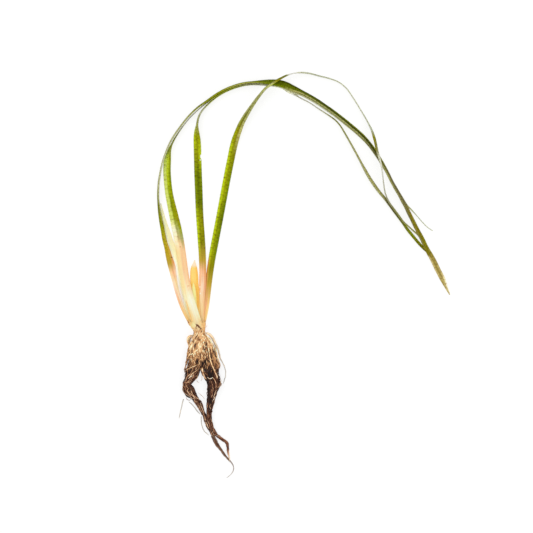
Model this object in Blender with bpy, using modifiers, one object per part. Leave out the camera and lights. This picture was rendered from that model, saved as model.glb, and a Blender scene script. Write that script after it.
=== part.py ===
"""A whole tape grass plant (Vallisneria), pulled up with its roots and laid on a flat surface.

Lengths are in millimetres until the last step. X runs to the right and Y towards the arch of
the leaves, as seen from above. Z is up, and z = 0 is the surface. The origin lies on the
surface under the crown.
"""

import math

import bmesh
import bpy
import numpy as np

MM = 0.001

# Driving dimensions
BLADE_WIDTH = 5.1
BLADE_THICKNESS = 0.5
LEAF_STEP = 4.6  # length of one leaf facet
LEAST_LIFT = 0.12
STEEPEST_ROLL = 87.0
LEAST_WIDTH = 0.5
CROWN_TOP = 2.4
CROWN_FOOT = -3.6
ROOT_GAP = 0.3
COLLAR_END = -30.3
STRAND_END = -63.6
LOWER_END = -78.0

# Leaf routes. A row is x, y, lift, roll, width, droop.
# lift is the height of the blade's lowest edge, and roll its turn about its length in degrees:
# 0 lies flat, 90 stands on edge with the right-hand edge, looking towards the tip, on top.
# droop is how far both edges hang below the midline.
W = BLADE_WIDTH
OUTER_BASE = [
    (-4.9, 4.3, 0.8, 0, 5.6, -0.5),
    (-8.4, 10.2, 0.5, 0, 5.6, -0.3),
    (-12.3, 18.0, 0.35, 0, 5.3, 0),
    (-15.5, 27.0, 0.3, 0, 5.2, 0),
    (-18.3, 37.0, 0.3, 0, W, 0),
    (-20.9, 46.5, 0.3, 0, W, 0),
    (-22.8, 53.5, 0.3, 26, W, 0),
    (-24.5, 60.0, 0.3, 45, W, 0),
    (-26.5, 67.5, 0.3, 54, W, 0),
    (-28.1, 75.8, 0.3, 57, W, 0),
    (-29.6, 84.0, 0.3, 62, W, 0),
    (-30.8, 92.2, 0.3, 70, W, 0),
    (-31.4, 100.5, 0.3, 77, W, 0),
    (-31.1, 108.8, 0.3, 81, W, 0),
    (-29.9, 117.4, 0.3, 83, W, 0),
    (-27.8, 126.8, 0.3, 83, W, 0),
    (-24.8, 135.4, 0.3, 83, W, 0),
    (-20.6, 144.0, 0.3, 83, W, 0),
    (-15.0, 152.2, 0.3, 83, W, 0),
    (-8.6, 160.3, 0.35, 83, W, 0),
    (-2.2, 166.5, 0.4, 83, W, 0),
]
OUTER_ARCH = [
    (5.2, 171.9, 0.4, 84, W, 0),
    (13.8, 177.9, 0.45, 83, W, 0),
    (22.6, 182.2, 0.45, 82, W, 0),
    (32.2, 185.1, 0.55, 80, W, 0),
    (42.0, 186.1, 0.85, 70, W, 0),
    (49.5, 186.1, 1.42, 52, W, 0),
    (56.2, 185.6, 1.85, 25, W, 0),
    (63.0, 184.2, 2.1, 4, W, 0),
    (69.0, 181.6, 1.85, 26, W, 0),
    (75.0, 179.1, 0.8, 52, W, 0),
    (83.8, 174.5, 0.4, 57, W, 0),
    (93.6, 168.1, 0.35, 57, W, 0),
    (103.2, 161.2, 0.35, 57, W, 0),
    (112.2, 154.0, 0.4, 57, W, 0),
    (120.8, 146.6, 0.65, 58, W, 0),
    (127.5, 139.3, 1.0, 60, W, 0),
    (133.8, 130.1, 1.3, 62, 5.0, 0),
    (140.0, 119.2, 1.8, 63, 4.9, 0),
    (144.8, 109.5, 2.3, 60, 4.8, 0),
    (150.0, 100.5, 2.6, 55, 4.7, 0),
    (154.5, 92.2, 2.6, 50, 4.6, 0),
]
OUTER_TIP = [
    (158.9, 83.2, 2.1, 47, 4.4, 0),
    (163.1, 75.0, 1.5, 42, 4.2, 0),
    (167.0, 67.5, 1.3, 38, 4.2, 0),
    (170.6, 60.0, 1.3, 35, 4.4, 0),
    (174.9, 52.5, 0.8, 27, 4.5, 0),
    (178.5, 45.0, 0.4, 18, 4.3, 0),
    (182.4, 37.5, 0.2, 10, 3.9, 0),
    (185.5, 30.5, 0.2, 5, 1.9, 0),
    (187.4, 26.4, 0.2, 0, 0.6, 0),
]
INNER_BASE = [
    (-2.1, 4.3, 4.9, 0, 7.4, 0.8),
    (-3.9, 10.0, 4.75, 0, 7.4, 0.7),
    (-5.9, 17.0, 4.45, 0, 7.2, 0.6),
    (-8.2, 24.5, 4.1, 0, 7.1, 0.6),
    (-10.1, 32.0, 3.6, 0, 7.0, 0.6),
    (-11.9, 41.0, 2.6, 0, 7.0, 0.6),
    (-13.5, 52.5, 1.65, 0, 7.0, 0.5),
    (-14.8, 62.0, 1.3, 0, 6.9, 0.4),
    (-17.3, 75.0, 0.7, 0, 6.7, 0.3),
    (-20.6, 90.0, 0.35, 0, 5.9, 0.1),
    (-23.0, 101.0, 0.3, 0, 5.3, 0),
    (-24.4, 112.5, 0.3, 0, W, 0),
    (-24.8, 120.0, 0.3, 3, W, 0),
    (-24.5, 126.8, 0.3, 16, W, 0),
    (-23.8, 131.4, 0.3, 40, W, 0),
    (-22.8, 135.2, 0.3, 60, W, 0),
    (-21.2, 139.2, 0.3, 74, W, 0),
    (-18.9, 143.6, 0.3, 81, W, 0),
    (-14.0, 151.1, 0.3, 83, W, 0),
    (-7.9, 158.8, 0.3, 83, W, 0),
    (-1.9, 164.7, 0.3, 83, W, 0),
]
INNER_TIP = [
    (159.0, 89.8, 0.2, 66, 2.0, 0),
    (162.8, 85.6, 0.2, 76, 1.8, 0),
    (166.5, 81.3, 0.2, 80, 1.5, 0),
    (170.6, 77.2, 0.2, 80, 1.1, 0),
    (174.6, 74.4, 0.2, 75, 0.6, 0),
]
MIDDLE_BASE = [
    (-0.1, 4.3, 2.2, 0, 5.6, 0),
    (0.3, 10.0, 1.75, 0, 5.5, 0),
    (0.6, 17.0, 1.45, 0, 5.3, 0),
    (1.0, 24.5, 1.25, 0, 5.2, 0),
    (1.6, 32.0, 1.15, 0, 5.2, 0),
    (2.0, 41.0, 1.15, 0, 5.2, 0),
    (1.8, 54.0, 0.7, 0, W, 0),
    (0.9, 69.0, 0.4, 0, W, 0),
    (-0.2, 85.0, 0.3, 0, W, 0),
    (-1.0, 105.0, 0.3, 0, 5.2, 0),
    (-1.5, 118.5, 0.3, 0, 5.2, 0),
    (-1.8, 130.0, 0.3, 2, W, 0),
    (-2.0, 138.0, 0.3, 10, W, 0),
    (-2.3, 143.5, 0.3, 26, W, 0),
    (-2.4, 147.8, 0.3, 45, W, 0),
    (-2.4, 151.2, 0.3, 63, W, 0),
    (-2.1, 154.4, 0.3, 77, W, 0),
    (-1.5, 158.0, 0.3, 83, W, 0),
    (-0.1, 161.8, 0.3, 84, W, 0),
    (2.3, 165.4, 0.25, 84, W, 0),
    (5.9, 169.2, 0.2, 84, W, 0),
]
MIDDLE_TIP = [
    (82.5, 170.2, 0.2, 84, W, 0),
    (90.0, 165.2, 0.2, 84, W, 0),
    (97.5, 160.3, 0.2, 84, W, 0),
    (101.6, 157.3, 0.2, 84, W, 0),
    (105.0, 153.5, 0.2, 84, W, 0),
    (108.5, 147.9, 0.2, 83, W, 0),
    (112.2, 141.4, 0.2, 82, W, 0),
    (115.9, 134.8, 0.2, 80, 5.0, 0),
    (119.7, 127.7, 0.2, 76, 4.8, 0),
    (123.6, 120.4, 0.2, 71, 4.6, 0),
    (127.6, 113.4, 0.2, 68, 4.5, 0),
    (131.2, 108.0, 0.2, 67, 4.4, 0),
    (135.0, 102.9, 0.2, 67, 4.3, 0),
    (138.6, 98.7, 0.2, 67, 4.2, 0),
    (141.2, 95.0, 0.2, 68, 4.1, 0),
    (144.4, 90.5, 0.2, 68, 4.0, 0),
    (148.4, 85.2, 0.2, 67, 4.0, 0),
    (152.5, 79.8, 0.2, 65, 4.0, 0),
    (156.0, 75.0, 0.2, 63, 3.9, 0),
    (159.8, 70.3, 0.2, 62, 3.8, 0),
    (163.5, 65.9, 0.2, 58, 3.3, 0),
    (167.2, 61.8, 0.2, 42, 2.3, 0),
    (170.4, 58.3, 0.2, 20, 1.0, 0),
]
RIGHT_BASE = [
    (1.3, 4.3, 0.6, 0, 5.2, -0.5),
    (2.6, 10.0, 0.4, 0, W, -0.3),
    (4.0, 17.0, 0.3, 0, W, 0),
    (5.0, 24.5, 0.3, 0, W, 0),
    (5.9, 32.0, 0.3, 0, W, 0),
    (7.2, 42.0, 0.3, 0, W, 0),
    (9.0, 54.0, 0.3, 0, W, 0),
    (11.5, 67.5, 0.3, 0, W, 0),
    (14.4, 82.5, 0.3, 0, W, 0),
    (17.2, 97.5, 0.3, 0, W, 0),
    (20.0, 112.5, 0.3, 0, W, 0),
    (23.0, 127.5, 0.3, 1, W, 0),
    (25.4, 138.8, 0.4, 12, W, 0),
    (28.0, 147.2, 0.7, 29, W, 0),
    (31.2, 155.0, 1.2, 45, W, 0),
    (35.2, 162.2, 1.8, 57, W, 0),
    (39.8, 169.2, 2.7, 67, W, 0),
    (44.8, 176.0, 3.8, 74, W, 0),
    (49.4, 181.2, 5.3, 78, W, 0),
    (54.4, 184.9, 5.8, 79, W, 0),
    (60.0, 188.3, 4.7, 79, 5.0, 0),
    (66.8, 191.6, 3.0, 81, 5.0, 0),
    (74.2, 193.0, 1.3, 84, 4.9, 0),
    (81.8, 192.5, 0.6, 84, 4.8, 0),
    (90.0, 190.4, 0.25, 84, 4.7, 0),
    (98.2, 188.3, 0.2, 84, 4.6, 0),
    (105.0, 185.4, 0.2, 84, 4.6, 0),
    (109.5, 181.6, 0.2, 84, 4.6, 0),
    (114.8, 174.3, 0.2, 84, 4.5, 0),
    (120.8, 164.6, 0.2, 84, 4.4, 0),
    (126.0, 155.6, 0.9, 82, 4.3, 0),
    (129.3, 148.5, 2.4, 78, 4.2, 0),
    (131.2, 141.8, 4.2, 74, 4.2, 0),
    (132.8, 134.4, 5.7, 71, 4.1, 0),
    (134.2, 129.6, 6.3, 70, 4.1, 0),
    (135.5, 125.0, 6.6, 71, 4.1, 0),
    (136.4, 120.4, 6.1, 75, 4.0, 0),
    (137.1, 114.6, 4.5, 80, 4.0, 0),
    (137.8, 109.0, 2.8, 83, 4.0, 0),
    (138.8, 103.4, 1.4, 80, 3.9, 0),
]
RIGHT_TIP = [
    (156.1, 77.9, 3.2, 73, 3.7, 0),
    (158.8, 75.4, 4.1, 73, 3.6, 0),
    (161.2, 73.3, 4.9, 71, 3.6, 0),
    (163.0, 71.9, 5.1, 66, 3.5, 0),
    (164.9, 69.7, 4.7, 58, 3.4, 0),
    (166.5, 67.0, 4.2, 50, 3.3, 0),
    (168.3, 63.4, 3.8, 43, 3.2, 0),
    (170.2, 59.2, 3.75, 37, 2.5, 0),
    (171.7, 55.8, 3.75, 32, 0.8, 0),
]
SHEATH = [
    (-3.8, 4.3, 3.1, 0, 5.0, 0),
    (-6.2, 10.5, 2.2, 0, 5.0, 0),
    (-9.4, 18.5, 1.35, 0, 5.0, 0),
    (-12.2, 28.0, 1.15, 0, 4.8, 0),
    (-14.5, 37.0, 1.15, 0, 4.4, 0),
    (-15.9, 45.0, 1.15, 0, 3.7, 0),
    (-16.8, 50.0, 0.8, 0, 3.2, 0),
    (-18.2, 55.0, 0.35, 0, 3.6, 0),
    (-19.7, 60.0, 0.25, 0, 4.0, 0),
    (-22.3, 67.5, 0.25, 4, 3.7, 0),
    (-24.8, 76.0, 0.25, 8, 3.0, 0),
    (-26.9, 83.5, 0.25, 12, 2.2, 0),
    (-28.5, 90.0, 0.25, 12, 1.5, 0),
    (-29.5, 95.0, 0.25, 10, 0.6, 0),
]
YOUNG_OUTER = [
    (-2.0, 10.6, 3.1, 0, 4.2, 0),
    (-2.8, 19.0, 2.4, 0, 5.0, 0),
    (-3.6, 27.0, 2.1, 0, 5.8, 0),
    (-4.2, 35.0, 2.0, 0, 6.1, 0),
    (-4.4, 41.0, 1.9, 0, 6.0, 0),
    (-4.5, 46.0, 1.6, 0, 4.9, 0),
    (-4.2, 50.0, 1.4, 0, 2.3, 0),
    (-4.0, 52.4, 1.3, 0, 0.6, 0),
]
YOUNG_INNER = [
    (-2.7, 12.4, 3.75, 0, 3.4, 0),
    (-3.4, 20.0, 3.25, 0, 3.8, 0),
    (-4.0, 26.0, 2.95, 0, 3.9, 0),
    (-4.4, 30.5, 2.88, 0, 3.5, 0),
    (-4.7, 33.6, 2.85, 0, 2.0, 0),
    (-4.8, 35.6, 2.85, 0, 0.6, 0),
]

# Where two more leaves lie along the arch of the outer one, a row is its place in the arch,
# how far inward of it they lie, lift, roll and width.
INNER_BESIDE_OUTER = [
    (0, 1.1, 0.3, 84, W),
    (1, 0.9, 0.3, 83, W),
    (2, 0.87, 0.3, 82, W),
    (3, 0.87, 0.36, 80, W),
    (4, 0.83, 0.52, 70, W),
    (5, 0.7, 0.76, 52, W),
    (6, 0.45, 1.0, 25, W),
    (7, 0.35, 1.12, 4, W),
    (8, 0.9, 1.05, 26, W),
    (9, 1.45, 1.15, 51, W),
    (10, 1.4, 0.95, 57, W),
    (11, 1.3, 0.75, 57, W),
    (12, 1.15, 0.5, 57, W),
    (13, 1.05, 0.4, 57, W),
    (14, 0.95, 0.25, 57, 5.0),
    (15, 0.75, 0.25, 57, 4.7),
    (16, 0.6, 0.2, 56, 4.1),
    (17, 0.25, 0.2, 54, 3.5),
    (18, 0.1, 0.2, 50, 3.0),
    (19, -0.6, 0.2, 52, 2.5),
    (20, -1.6, 0.2, 60, 2.0),
]
MIDDLE_BESIDE_OUTER = [
    (1, 1.8, 0.2, 83, W),
    (2, 1.75, 0.2, 81, W),
    (3, 1.75, 0.2, 79, W),
    (4, 1.7, 0.2, 70, W),
    (5, 1.5, 0.2, 52, W),
    (6, 0.9, 0.2, 25, W),
    (7, 1.0, 0.2, 3, W),
    (8, 2.5, 0.2, 28, W),
    (9, 4.2, 0.2, 72, W),
]
# The same for the right leaf along the tip of the middle one, on its outward side.
RIGHT_BESIDE_MIDDLE = [
    (14, -0.95, 0.65, 70, 3.8),
    (15, -0.95, 0.9, 69, 3.8),
    (16, -0.95, 1.5, 70, 3.8),
    (17, -1.0, 2.4, 72, 3.7),
]

# Crown sections from the foot to the leaf bases: y, centre x, centre z, half width, half height.
CROWN = [
    (CROWN_FOOT, -0.3, 3.9, 4.1, 3.7),
    (-2.2, -0.4, 3.8, 4.4, 4.0),
    (-0.6, -0.6, 3.6, 4.4, 4.0),
    (1.0, -1.0, 3.5, 4.8, 3.9),
    (CROWN_TOP, -1.6, 3.4, 5.3, 3.6),
]

# Root bundles. A row is centre x, y, half width and half height.
COLLAR = [
    (0.0, CROWN_FOOT - ROOT_GAP, 4.9, 3.7),
    (0.2, -6.0, 7.2, 4.5),
    (0.9, -10.5, 8.9, 4.9),
    (1.5, -15.0, 10.1, 5.1),
    (1.9, -21.0, 11.3, 5.0),
    (2.2, -25.6, 12.6, 4.7),
    (1.7, COLLAR_END, 13.3, 4.3),
]
LEFT_STRAND = [
    (-5.8, COLLAR_END - ROOT_GAP, 5.7, 3.9),
    (-6.2, -34.0, 5.4, 3.5),
    (-8.2, -37.8, 4.1, 2.9),
    (-9.7, -40.2, 3.3, 2.8),
    (-8.9, -43.4, 4.5, 3.0),
    (-7.6, -46.8, 4.8, 3.0),
    (-4.7, -50.2, 3.0, 2.7),
    (-2.4, -53.5, 2.6, 2.5),
    (-0.2, -57.2, 2.2, 2.3),
    (1.3, -60.4, 1.8, 2.0),
    (2.3, STRAND_END, 1.4, 1.7),
]
RIGHT_STRAND = [
    (7.6, COLLAR_END - ROOT_GAP, 6.8, 4.0),
    (8.5, -34.4, 6.4, 3.8),
    (10.0, -37.8, 5.6, 3.6),
    (10.4, -40.6, 5.7, 3.4),
    (9.9, -43.8, 4.8, 3.3),
    (9.2, -47.0, 3.9, 3.1),
    (8.4, -51.0, 3.4, 2.8),
    (7.6, -56.2, 2.9, 2.5),
    (6.9, -60.6, 2.2, 2.2),
    (6.6, STRAND_END, 2.0, 2.0),
]
LOWER_STRAND = [
    (5.6, STRAND_END - ROOT_GAP, 3.3, 2.3),
    (5.9, -67.4, 3.2, 2.2),
    (6.8, -70.6, 2.9, 2.1),
    (8.1, -73.8, 2.65, 2.0),
    (9.4, -76.0, 2.6, 1.9),
    (10.5, LOWER_END, 2.8, 1.8),
]

# Single roots. A row is x, y, radius and lift.
FORK_RIGHT = [
    (13.0, -79.4, 1.2, 0.1),
    (15.2, -81.0, 1.15, 0.1),
    (17.8, -82.9, 1.15, 0.1),
    (20.0, -84.4, 1.15, 0.1),
    (20.7, -87.4, 1.0, 0.1),
    (21.1, -91.0, 0.85, 0.1),
    (21.8, -95.2, 0.55, 0.3),
]
FORK_LEFT = [
    (9.5, -79.4, 1.5, 0.1),
    (11.0, -82.4, 1.5, 0.1),
    (12.5, -85.2, 1.4, 0.1),
    (14.2, -87.9, 1.25, 0.1),
    (16.0, -90.4, 1.1, 0.1),
    (18.0, -93.3, 0.95, 0.1),
    (19.8, -95.4, 0.8, 0.1),
    (21.9, -97.8, 0.6, 0.1),
    (23.8, -99.9, 0.42, 0.1),
    (25.0, -102.2, 0.36, 0.1),
    (25.2, -104.6, 0.34, 0.1),
    (24.2, -107.0, 0.32, 0.1),
    (22.4, -109.2, 0.3, 0.1),
    (19.8, -111.0, 0.3, 0.1),
]
LOOP_LEFT = [
    (-6.9, -4.3, 0.95, 4.6),
    (-8.1, -4.8, 1.0, 3.9),
    (-9.1, -6.2, 1.0, 3.0),
    (-9.1, -8.3, 0.95, 2.0),
    (-8.6, -10.5, 0.8, 1.0),
    (-8.4, -13.0, 0.65, 0.4),
    (-9.0, -15.6, 0.5, 0.1),
]
ARCH_RIGHT = [
    (5.1, -2.4, 0.8, 4.3),
    (6.9, -3.0, 0.85, 4.1),
    (9.5, -5.6, 0.85, 3.5),
    (11.4, -9.7, 0.8, 2.6),
    (13.2, -13.5, 0.72, 1.8),
    (14.3, -17.3, 0.62, 1.1),
    (15.3, -21.4, 0.5, 0.5),
    (17.0, -24.6, 0.38, 0.2),
    (18.7, -28.6, 0.33, 0.1),
    (19.3, -33.0, 0.3, 0.1),
    (18.5, -37.0, 0.3, 0.1),
    (17.2, -40.4, 0.3, 0.1),
]
HAIR_LEFT = [
    (-12.4, -51.9, 0.35, 0.1),
    (-13.2, -54.8, 0.33, 0.1),
    (-14.2, -59.2, 0.3, 0.1),
    (-15.1, -63.0, 0.3, 0.1),
    (-15.8, -66.8, 0.28, 0.1),
]
HAIR_BETWEEN = [
    (-8.3, -54.0, 0.28, 0.1),
    (-6.2, -55.8, 0.3, 0.2),
    (-3.9, -58.5, 0.32, 0.4),
    (-1.7, -61.4, 0.32, 0.4),
    (0.1, -63.3, 0.3, 0.4),
]
HAIR_LOWER = [
    (1.0, -64.9, 0.3, 0.2),
    (0.8, -67.2, 0.3, 0.1),
    (1.3, -71.2, 0.3, 0.1),
    (2.6, -75.0, 0.3, 0.1),
    (4.5, -77.4, 0.28, 0.1),
    (6.6, -78.9, 0.28, 0.1),
]


def clear_scene():
    for obj in list(bpy.data.objects):
        bpy.data.objects.remove(obj, do_unlink=True)


def new_material(name, colour, roughness):
    material = bpy.data.materials.new(name)
    material.use_nodes = True
    shader = material.node_tree.nodes["Principled BSDF"]
    shader.inputs["Base Color"].default_value = (*colour, 1.0)
    shader.inputs["Roughness"].default_value = roughness
    shader.inputs["Metallic"].default_value = 0.0
    return material


def smooth_rows(rows, step):
    """Rows about one step apart on the smooth curve through the given rows."""
    rows = np.array(rows, float)
    gaps = np.hypot(*np.diff(rows[:, :2], axis=0).T)
    run = np.concatenate([[0.0], np.cumsum(gaps)])
    slope = np.gradient(rows, run, axis=0)
    at = np.linspace(0.0, run[-1], max(2, round(run[-1] / step)) + 1)
    first = np.clip(np.searchsorted(run, at, side="right") - 1, 0, len(run) - 2)
    length = (run[first + 1] - run[first])[:, None]
    part = ((at - run[first]) / (run[first + 1] - run[first]))[:, None]
    rest = 1.0 - part
    return (
        (1.0 + 2.0 * part) * rest**2 * rows[first]
        + part * rest**2 * length * slope[first]
        + part**2 * (3.0 - 2.0 * part) * rows[first + 1]
        - part**2 * rest * length * slope[first + 1]
    )


def beside(route, start, companions):
    """Leaf rows that lie along a route, each offset to its right-hand side."""
    points = np.array(route, float)[:, :2]
    rows = []
    for place, inward, lift, roll, width in companions:
        index = start + place
        ahead = points[index + 1] - points[index - 1]
        ahead /= np.linalg.norm(ahead)
        x = points[index][0] + ahead[1] * inward
        y = points[index][1] - ahead[0] * inward
        rows.append((x, y, lift, roll, width, 0.0))
    return rows


def leaf_routes():
    """Every leaf's route by name, from its base to its tip."""
    outer = OUTER_BASE + OUTER_ARCH + OUTER_TIP
    arch = len(OUTER_BASE)
    inner = INNER_BASE + beside(outer, arch, INNER_BESIDE_OUTER) + INNER_TIP
    middle = MIDDLE_BASE + beside(outer, arch, MIDDLE_BESIDE_OUTER) + MIDDLE_TIP
    right = RIGHT_BASE + beside(MIDDLE_TIP, 0, RIGHT_BESIDE_MIDDLE) + RIGHT_TIP
    return {
        "leaf_outer_left": outer,
        "leaf_inner_left": inner,
        "leaf_middle": middle,
        "leaf_right": right,
        "leaf_sheath": SHEATH,
        "young_leaf_outer": YOUNG_OUTER,
        "young_leaf_inner": YOUNG_INNER,
    }


def blade_frames(route, step):
    """Centre, width direction, upper normal, half width and droop along a leaf."""
    x, y, lift, roll, width, droop = smooth_rows(route, step).T
    roll = np.radians(np.clip(roll, 0.0, STEEPEST_ROLL))
    half = np.maximum(width, LEAST_WIDTH) / 2.0
    z = np.maximum(lift, LEAST_LIFT) + half * np.sin(roll) + np.maximum(droop, 0.0)
    z += BLADE_THICKNESS / 2.0 * np.cos(roll)
    centre = np.stack([x, y, z], axis=1)
    ahead = np.gradient(centre, axis=0)
    ahead /= np.linalg.norm(ahead, axis=1)[:, None]
    side = np.cross(ahead, (0.0, 0.0, 1.0))
    side /= np.linalg.norm(side, axis=1)[:, None]
    rise = np.cross(side, ahead)
    across = np.cos(roll)[:, None] * side + np.sin(roll)[:, None] * rise
    normal = np.cos(roll)[:, None] * rise - np.sin(roll)[:, None] * side
    return centre, across, normal, half, droop


def make_leaf(name, route, material, collection):
    """A flat grid laid along the route and thickened."""
    centre, across, normal, half, droop = blade_frames(route, LEAF_STEP)
    rows = len(centre)
    mesh = bpy.data.meshes.new(name)
    grid = bmesh.new()
    bmesh.ops.create_grid(grid, x_segments=2, y_segments=rows - 1, size=1.0)
    for vertex in grid.verts:
        i = round((vertex.co.y + 1.0) / 2.0 * (rows - 1))
        v = vertex.co.x
        point = centre[i] + across[i] * half[i] * v - normal[i] * droop[i] * v * v
        vertex.co = point * MM
    grid.to_mesh(mesh)
    grid.free()
    mesh.shade_smooth()
    mesh.materials.append(material)
    leaf = bpy.data.objects.new(name, mesh)
    collection.objects.link(leaf)
    shell = leaf.modifiers.new("Blade thickness", "SOLIDIFY")
    shell.thickness = BLADE_THICKNESS * MM
    shell.offset = 0.0


def loft(name, rings, material, collection):
    """A closed body through rings of equally many points, with a flat fan on each end."""
    mesh = bpy.data.meshes.new(name)
    body = bmesh.new()
    loops = [[body.verts.new(point * MM) for point in ring] for ring in rings]
    count = len(loops[0])
    for lower, upper in zip(loops, loops[1:]):
        for k in range(count):
            n = (k + 1) % count
            body.faces.new((lower[k], lower[n], upper[n], upper[k]))
    for ring, points in ((loops[0], rings[0]), (loops[-1], rings[-1])):
        hub = body.verts.new(points.mean(axis=0) * MM)
        for k in range(count):
            body.faces.new((ring[(k + 1) % count], ring[k], hub))
    bmesh.ops.recalc_face_normals(body, faces=body.faces)
    body.to_mesh(mesh)
    body.free()
    mesh.shade_smooth()
    mesh.materials.append(material)
    collection.objects.link(bpy.data.objects.new(name, mesh))


def make_crown(material, collection):
    """The short stem with the fused leaf bases, flattened where it rests on the surface."""
    points = 28
    ribs = 7
    rib_depth = 0.035
    sections = np.array(CROWN, float)
    rings = []
    for y, x, z, wide, high in smooth_rows(sections[:, [0, 1, 2, 3, 4]], 1.2):
        angles = np.arange(points) * math.tau / points
        swell = 1.0 + rib_depth * np.cos(ribs * angles + 0.5 * y)
        ring_x = x + wide * swell * np.cos(angles)
        ring_z = np.maximum(z + high * swell * np.sin(angles), 0.0)
        rings.append(np.stack([ring_x, np.full(points, y), ring_z], axis=1))
    loft("crown", rings, material, collection)


def make_bundle(name, route, cords, phase, material, collection):
    """A bundle of roots that cling together: a flattened body fluted into twisting cords."""
    points = cords * 4
    flute = 0.13
    twist = 0.055
    step = 2.9
    rows = smooth_rows(route, step)
    ahead = np.gradient(rows[:, :2], axis=0)
    ahead /= np.linalg.norm(ahead, axis=1)[:, None]
    rings = []
    for i, (x, y, wide, high) in enumerate(rows):
        angles = np.arange(points) * math.tau / points
        turn = cords * angles + twist * cords * i * step + phase
        swell = 1.0 - flute * 0.5 + flute * 0.5 * np.cos(turn)
        swell += 0.03 * np.cos(2.0 * angles + 0.9 * i + phase)
        out = wide * swell * np.cos(angles)
        up = high * 1.04 + high * swell * np.sin(angles)
        rings.append(
            np.stack([x + ahead[i][1] * out, y - ahead[i][0] * out, up], axis=1)
        )
    rings[0][:, 1] = rows[0][1]
    rings[-1][:, 1] = rows[-1][1]
    loft(name, rings, material, collection)


def make_root(name, route, step, material, collection):
    """One round root as a tube whose radius follows the route."""
    rows = smooth_rows(route, step)
    curve = bpy.data.curves.new(name, "CURVE")
    curve.dimensions = "3D"
    curve.bevel_depth = MM
    curve.bevel_resolution = 2
    curve.use_fill_caps = True
    spline = curve.splines.new("POLY")
    spline.points.add(len(rows) - 1)
    for point, (x, y, radius, lift) in zip(spline.points, rows):
        z = max(lift, 0.1) + radius
        point.co = (x * MM, y * MM, z * MM, 1.0)
        point.radius = radius
    curve.materials.append(material)
    collection.objects.link(bpy.data.objects.new(name, curve))


def main():
    clear_scene()
    plant = bpy.data.collections.new("vallisneria")
    bpy.context.scene.collection.children.link(plant)
    leaf_colours = {
        "leaf_outer_left": (0.16, 0.20, 0.02),
        "leaf_inner_left": (0.33, 0.36, 0.05),
        "leaf_middle": (0.20, 0.26, 0.02),
        "leaf_right": (0.30, 0.38, 0.03),
        "leaf_sheath": (0.80, 0.66, 0.36),
        "young_leaf_outer": (0.86, 0.62, 0.20),
        "young_leaf_inner": (0.88, 0.74, 0.28),
    }
    for name, route in leaf_routes().items():
        material = new_material(name, leaf_colours[name], 0.45)
        make_leaf(name, route, material, plant)
    make_crown(new_material("crown", (0.72, 0.47, 0.22), 0.55), plant)
    tan = new_material("root_tan", (0.38, 0.24, 0.11), 0.7)
    dark = new_material("root_dark", (0.10, 0.05, 0.025), 0.7)
    pale = new_material("root_pale", (0.78, 0.58, 0.34), 0.6)
    make_bundle("root_collar", COLLAR, 15, 0.4, tan, plant)
    make_bundle("root_strand_left", LEFT_STRAND, 9, 1.3, dark, plant)
    make_bundle("root_strand_right", RIGHT_STRAND, 9, 2.1, dark, plant)
    make_bundle("root_strand_lower", LOWER_STRAND, 7, 0.7, dark, plant)
    make_root("root_fork_right", FORK_RIGHT, 1.6, pale, plant)
    make_root("root_fork_left", FORK_LEFT, 1.8, dark, plant)
    make_root("root_loop_left", LOOP_LEFT, 1.5, pale, plant)
    make_root("root_arch_right", ARCH_RIGHT, 2.2, pale, plant)
    make_root("root_hair_left", HAIR_LEFT, 3.0, pale, plant)
    make_root("root_hair_between", HAIR_BETWEEN, 3.0, pale, plant)
    make_root("root_hair_lower", HAIR_LOWER, 3.0, pale, plant)


main()
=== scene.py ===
"""The looks of a tape grass plant that lies on a pale floor.

The routes are those of the solids, in millimetres. X runs to the right and Y towards the arch
of the leaves, as the camera sees them from straight above.
"""

import math

import bpy
import numpy as np
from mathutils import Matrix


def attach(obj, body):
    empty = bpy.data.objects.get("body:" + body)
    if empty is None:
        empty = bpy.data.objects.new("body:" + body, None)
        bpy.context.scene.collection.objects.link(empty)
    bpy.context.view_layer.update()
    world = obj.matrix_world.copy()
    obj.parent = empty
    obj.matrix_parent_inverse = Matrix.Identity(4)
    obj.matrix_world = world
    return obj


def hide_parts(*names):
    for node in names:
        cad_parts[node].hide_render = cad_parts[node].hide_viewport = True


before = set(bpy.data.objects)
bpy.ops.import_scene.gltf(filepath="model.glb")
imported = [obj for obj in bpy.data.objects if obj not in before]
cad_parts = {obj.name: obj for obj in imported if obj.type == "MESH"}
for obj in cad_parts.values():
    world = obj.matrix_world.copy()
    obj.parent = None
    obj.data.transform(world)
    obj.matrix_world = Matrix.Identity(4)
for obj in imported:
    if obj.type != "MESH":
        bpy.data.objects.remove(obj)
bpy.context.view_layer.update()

MM = 0.001
PIXEL = 0.75  # millimetres for one pixel of the photograph
PIXELS = 533  # across the photograph
ORIGIN = (200, 330)  # the pixel, right and down, where the leaves meet the roots
W = 5.1  # width of a blade
USUAL = (0.3, 0, W, 0)  # lift, roll, width and droop of a leaf row that leaves them out
USUAL_LIFT = 0.1  # of a single root's row

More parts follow.
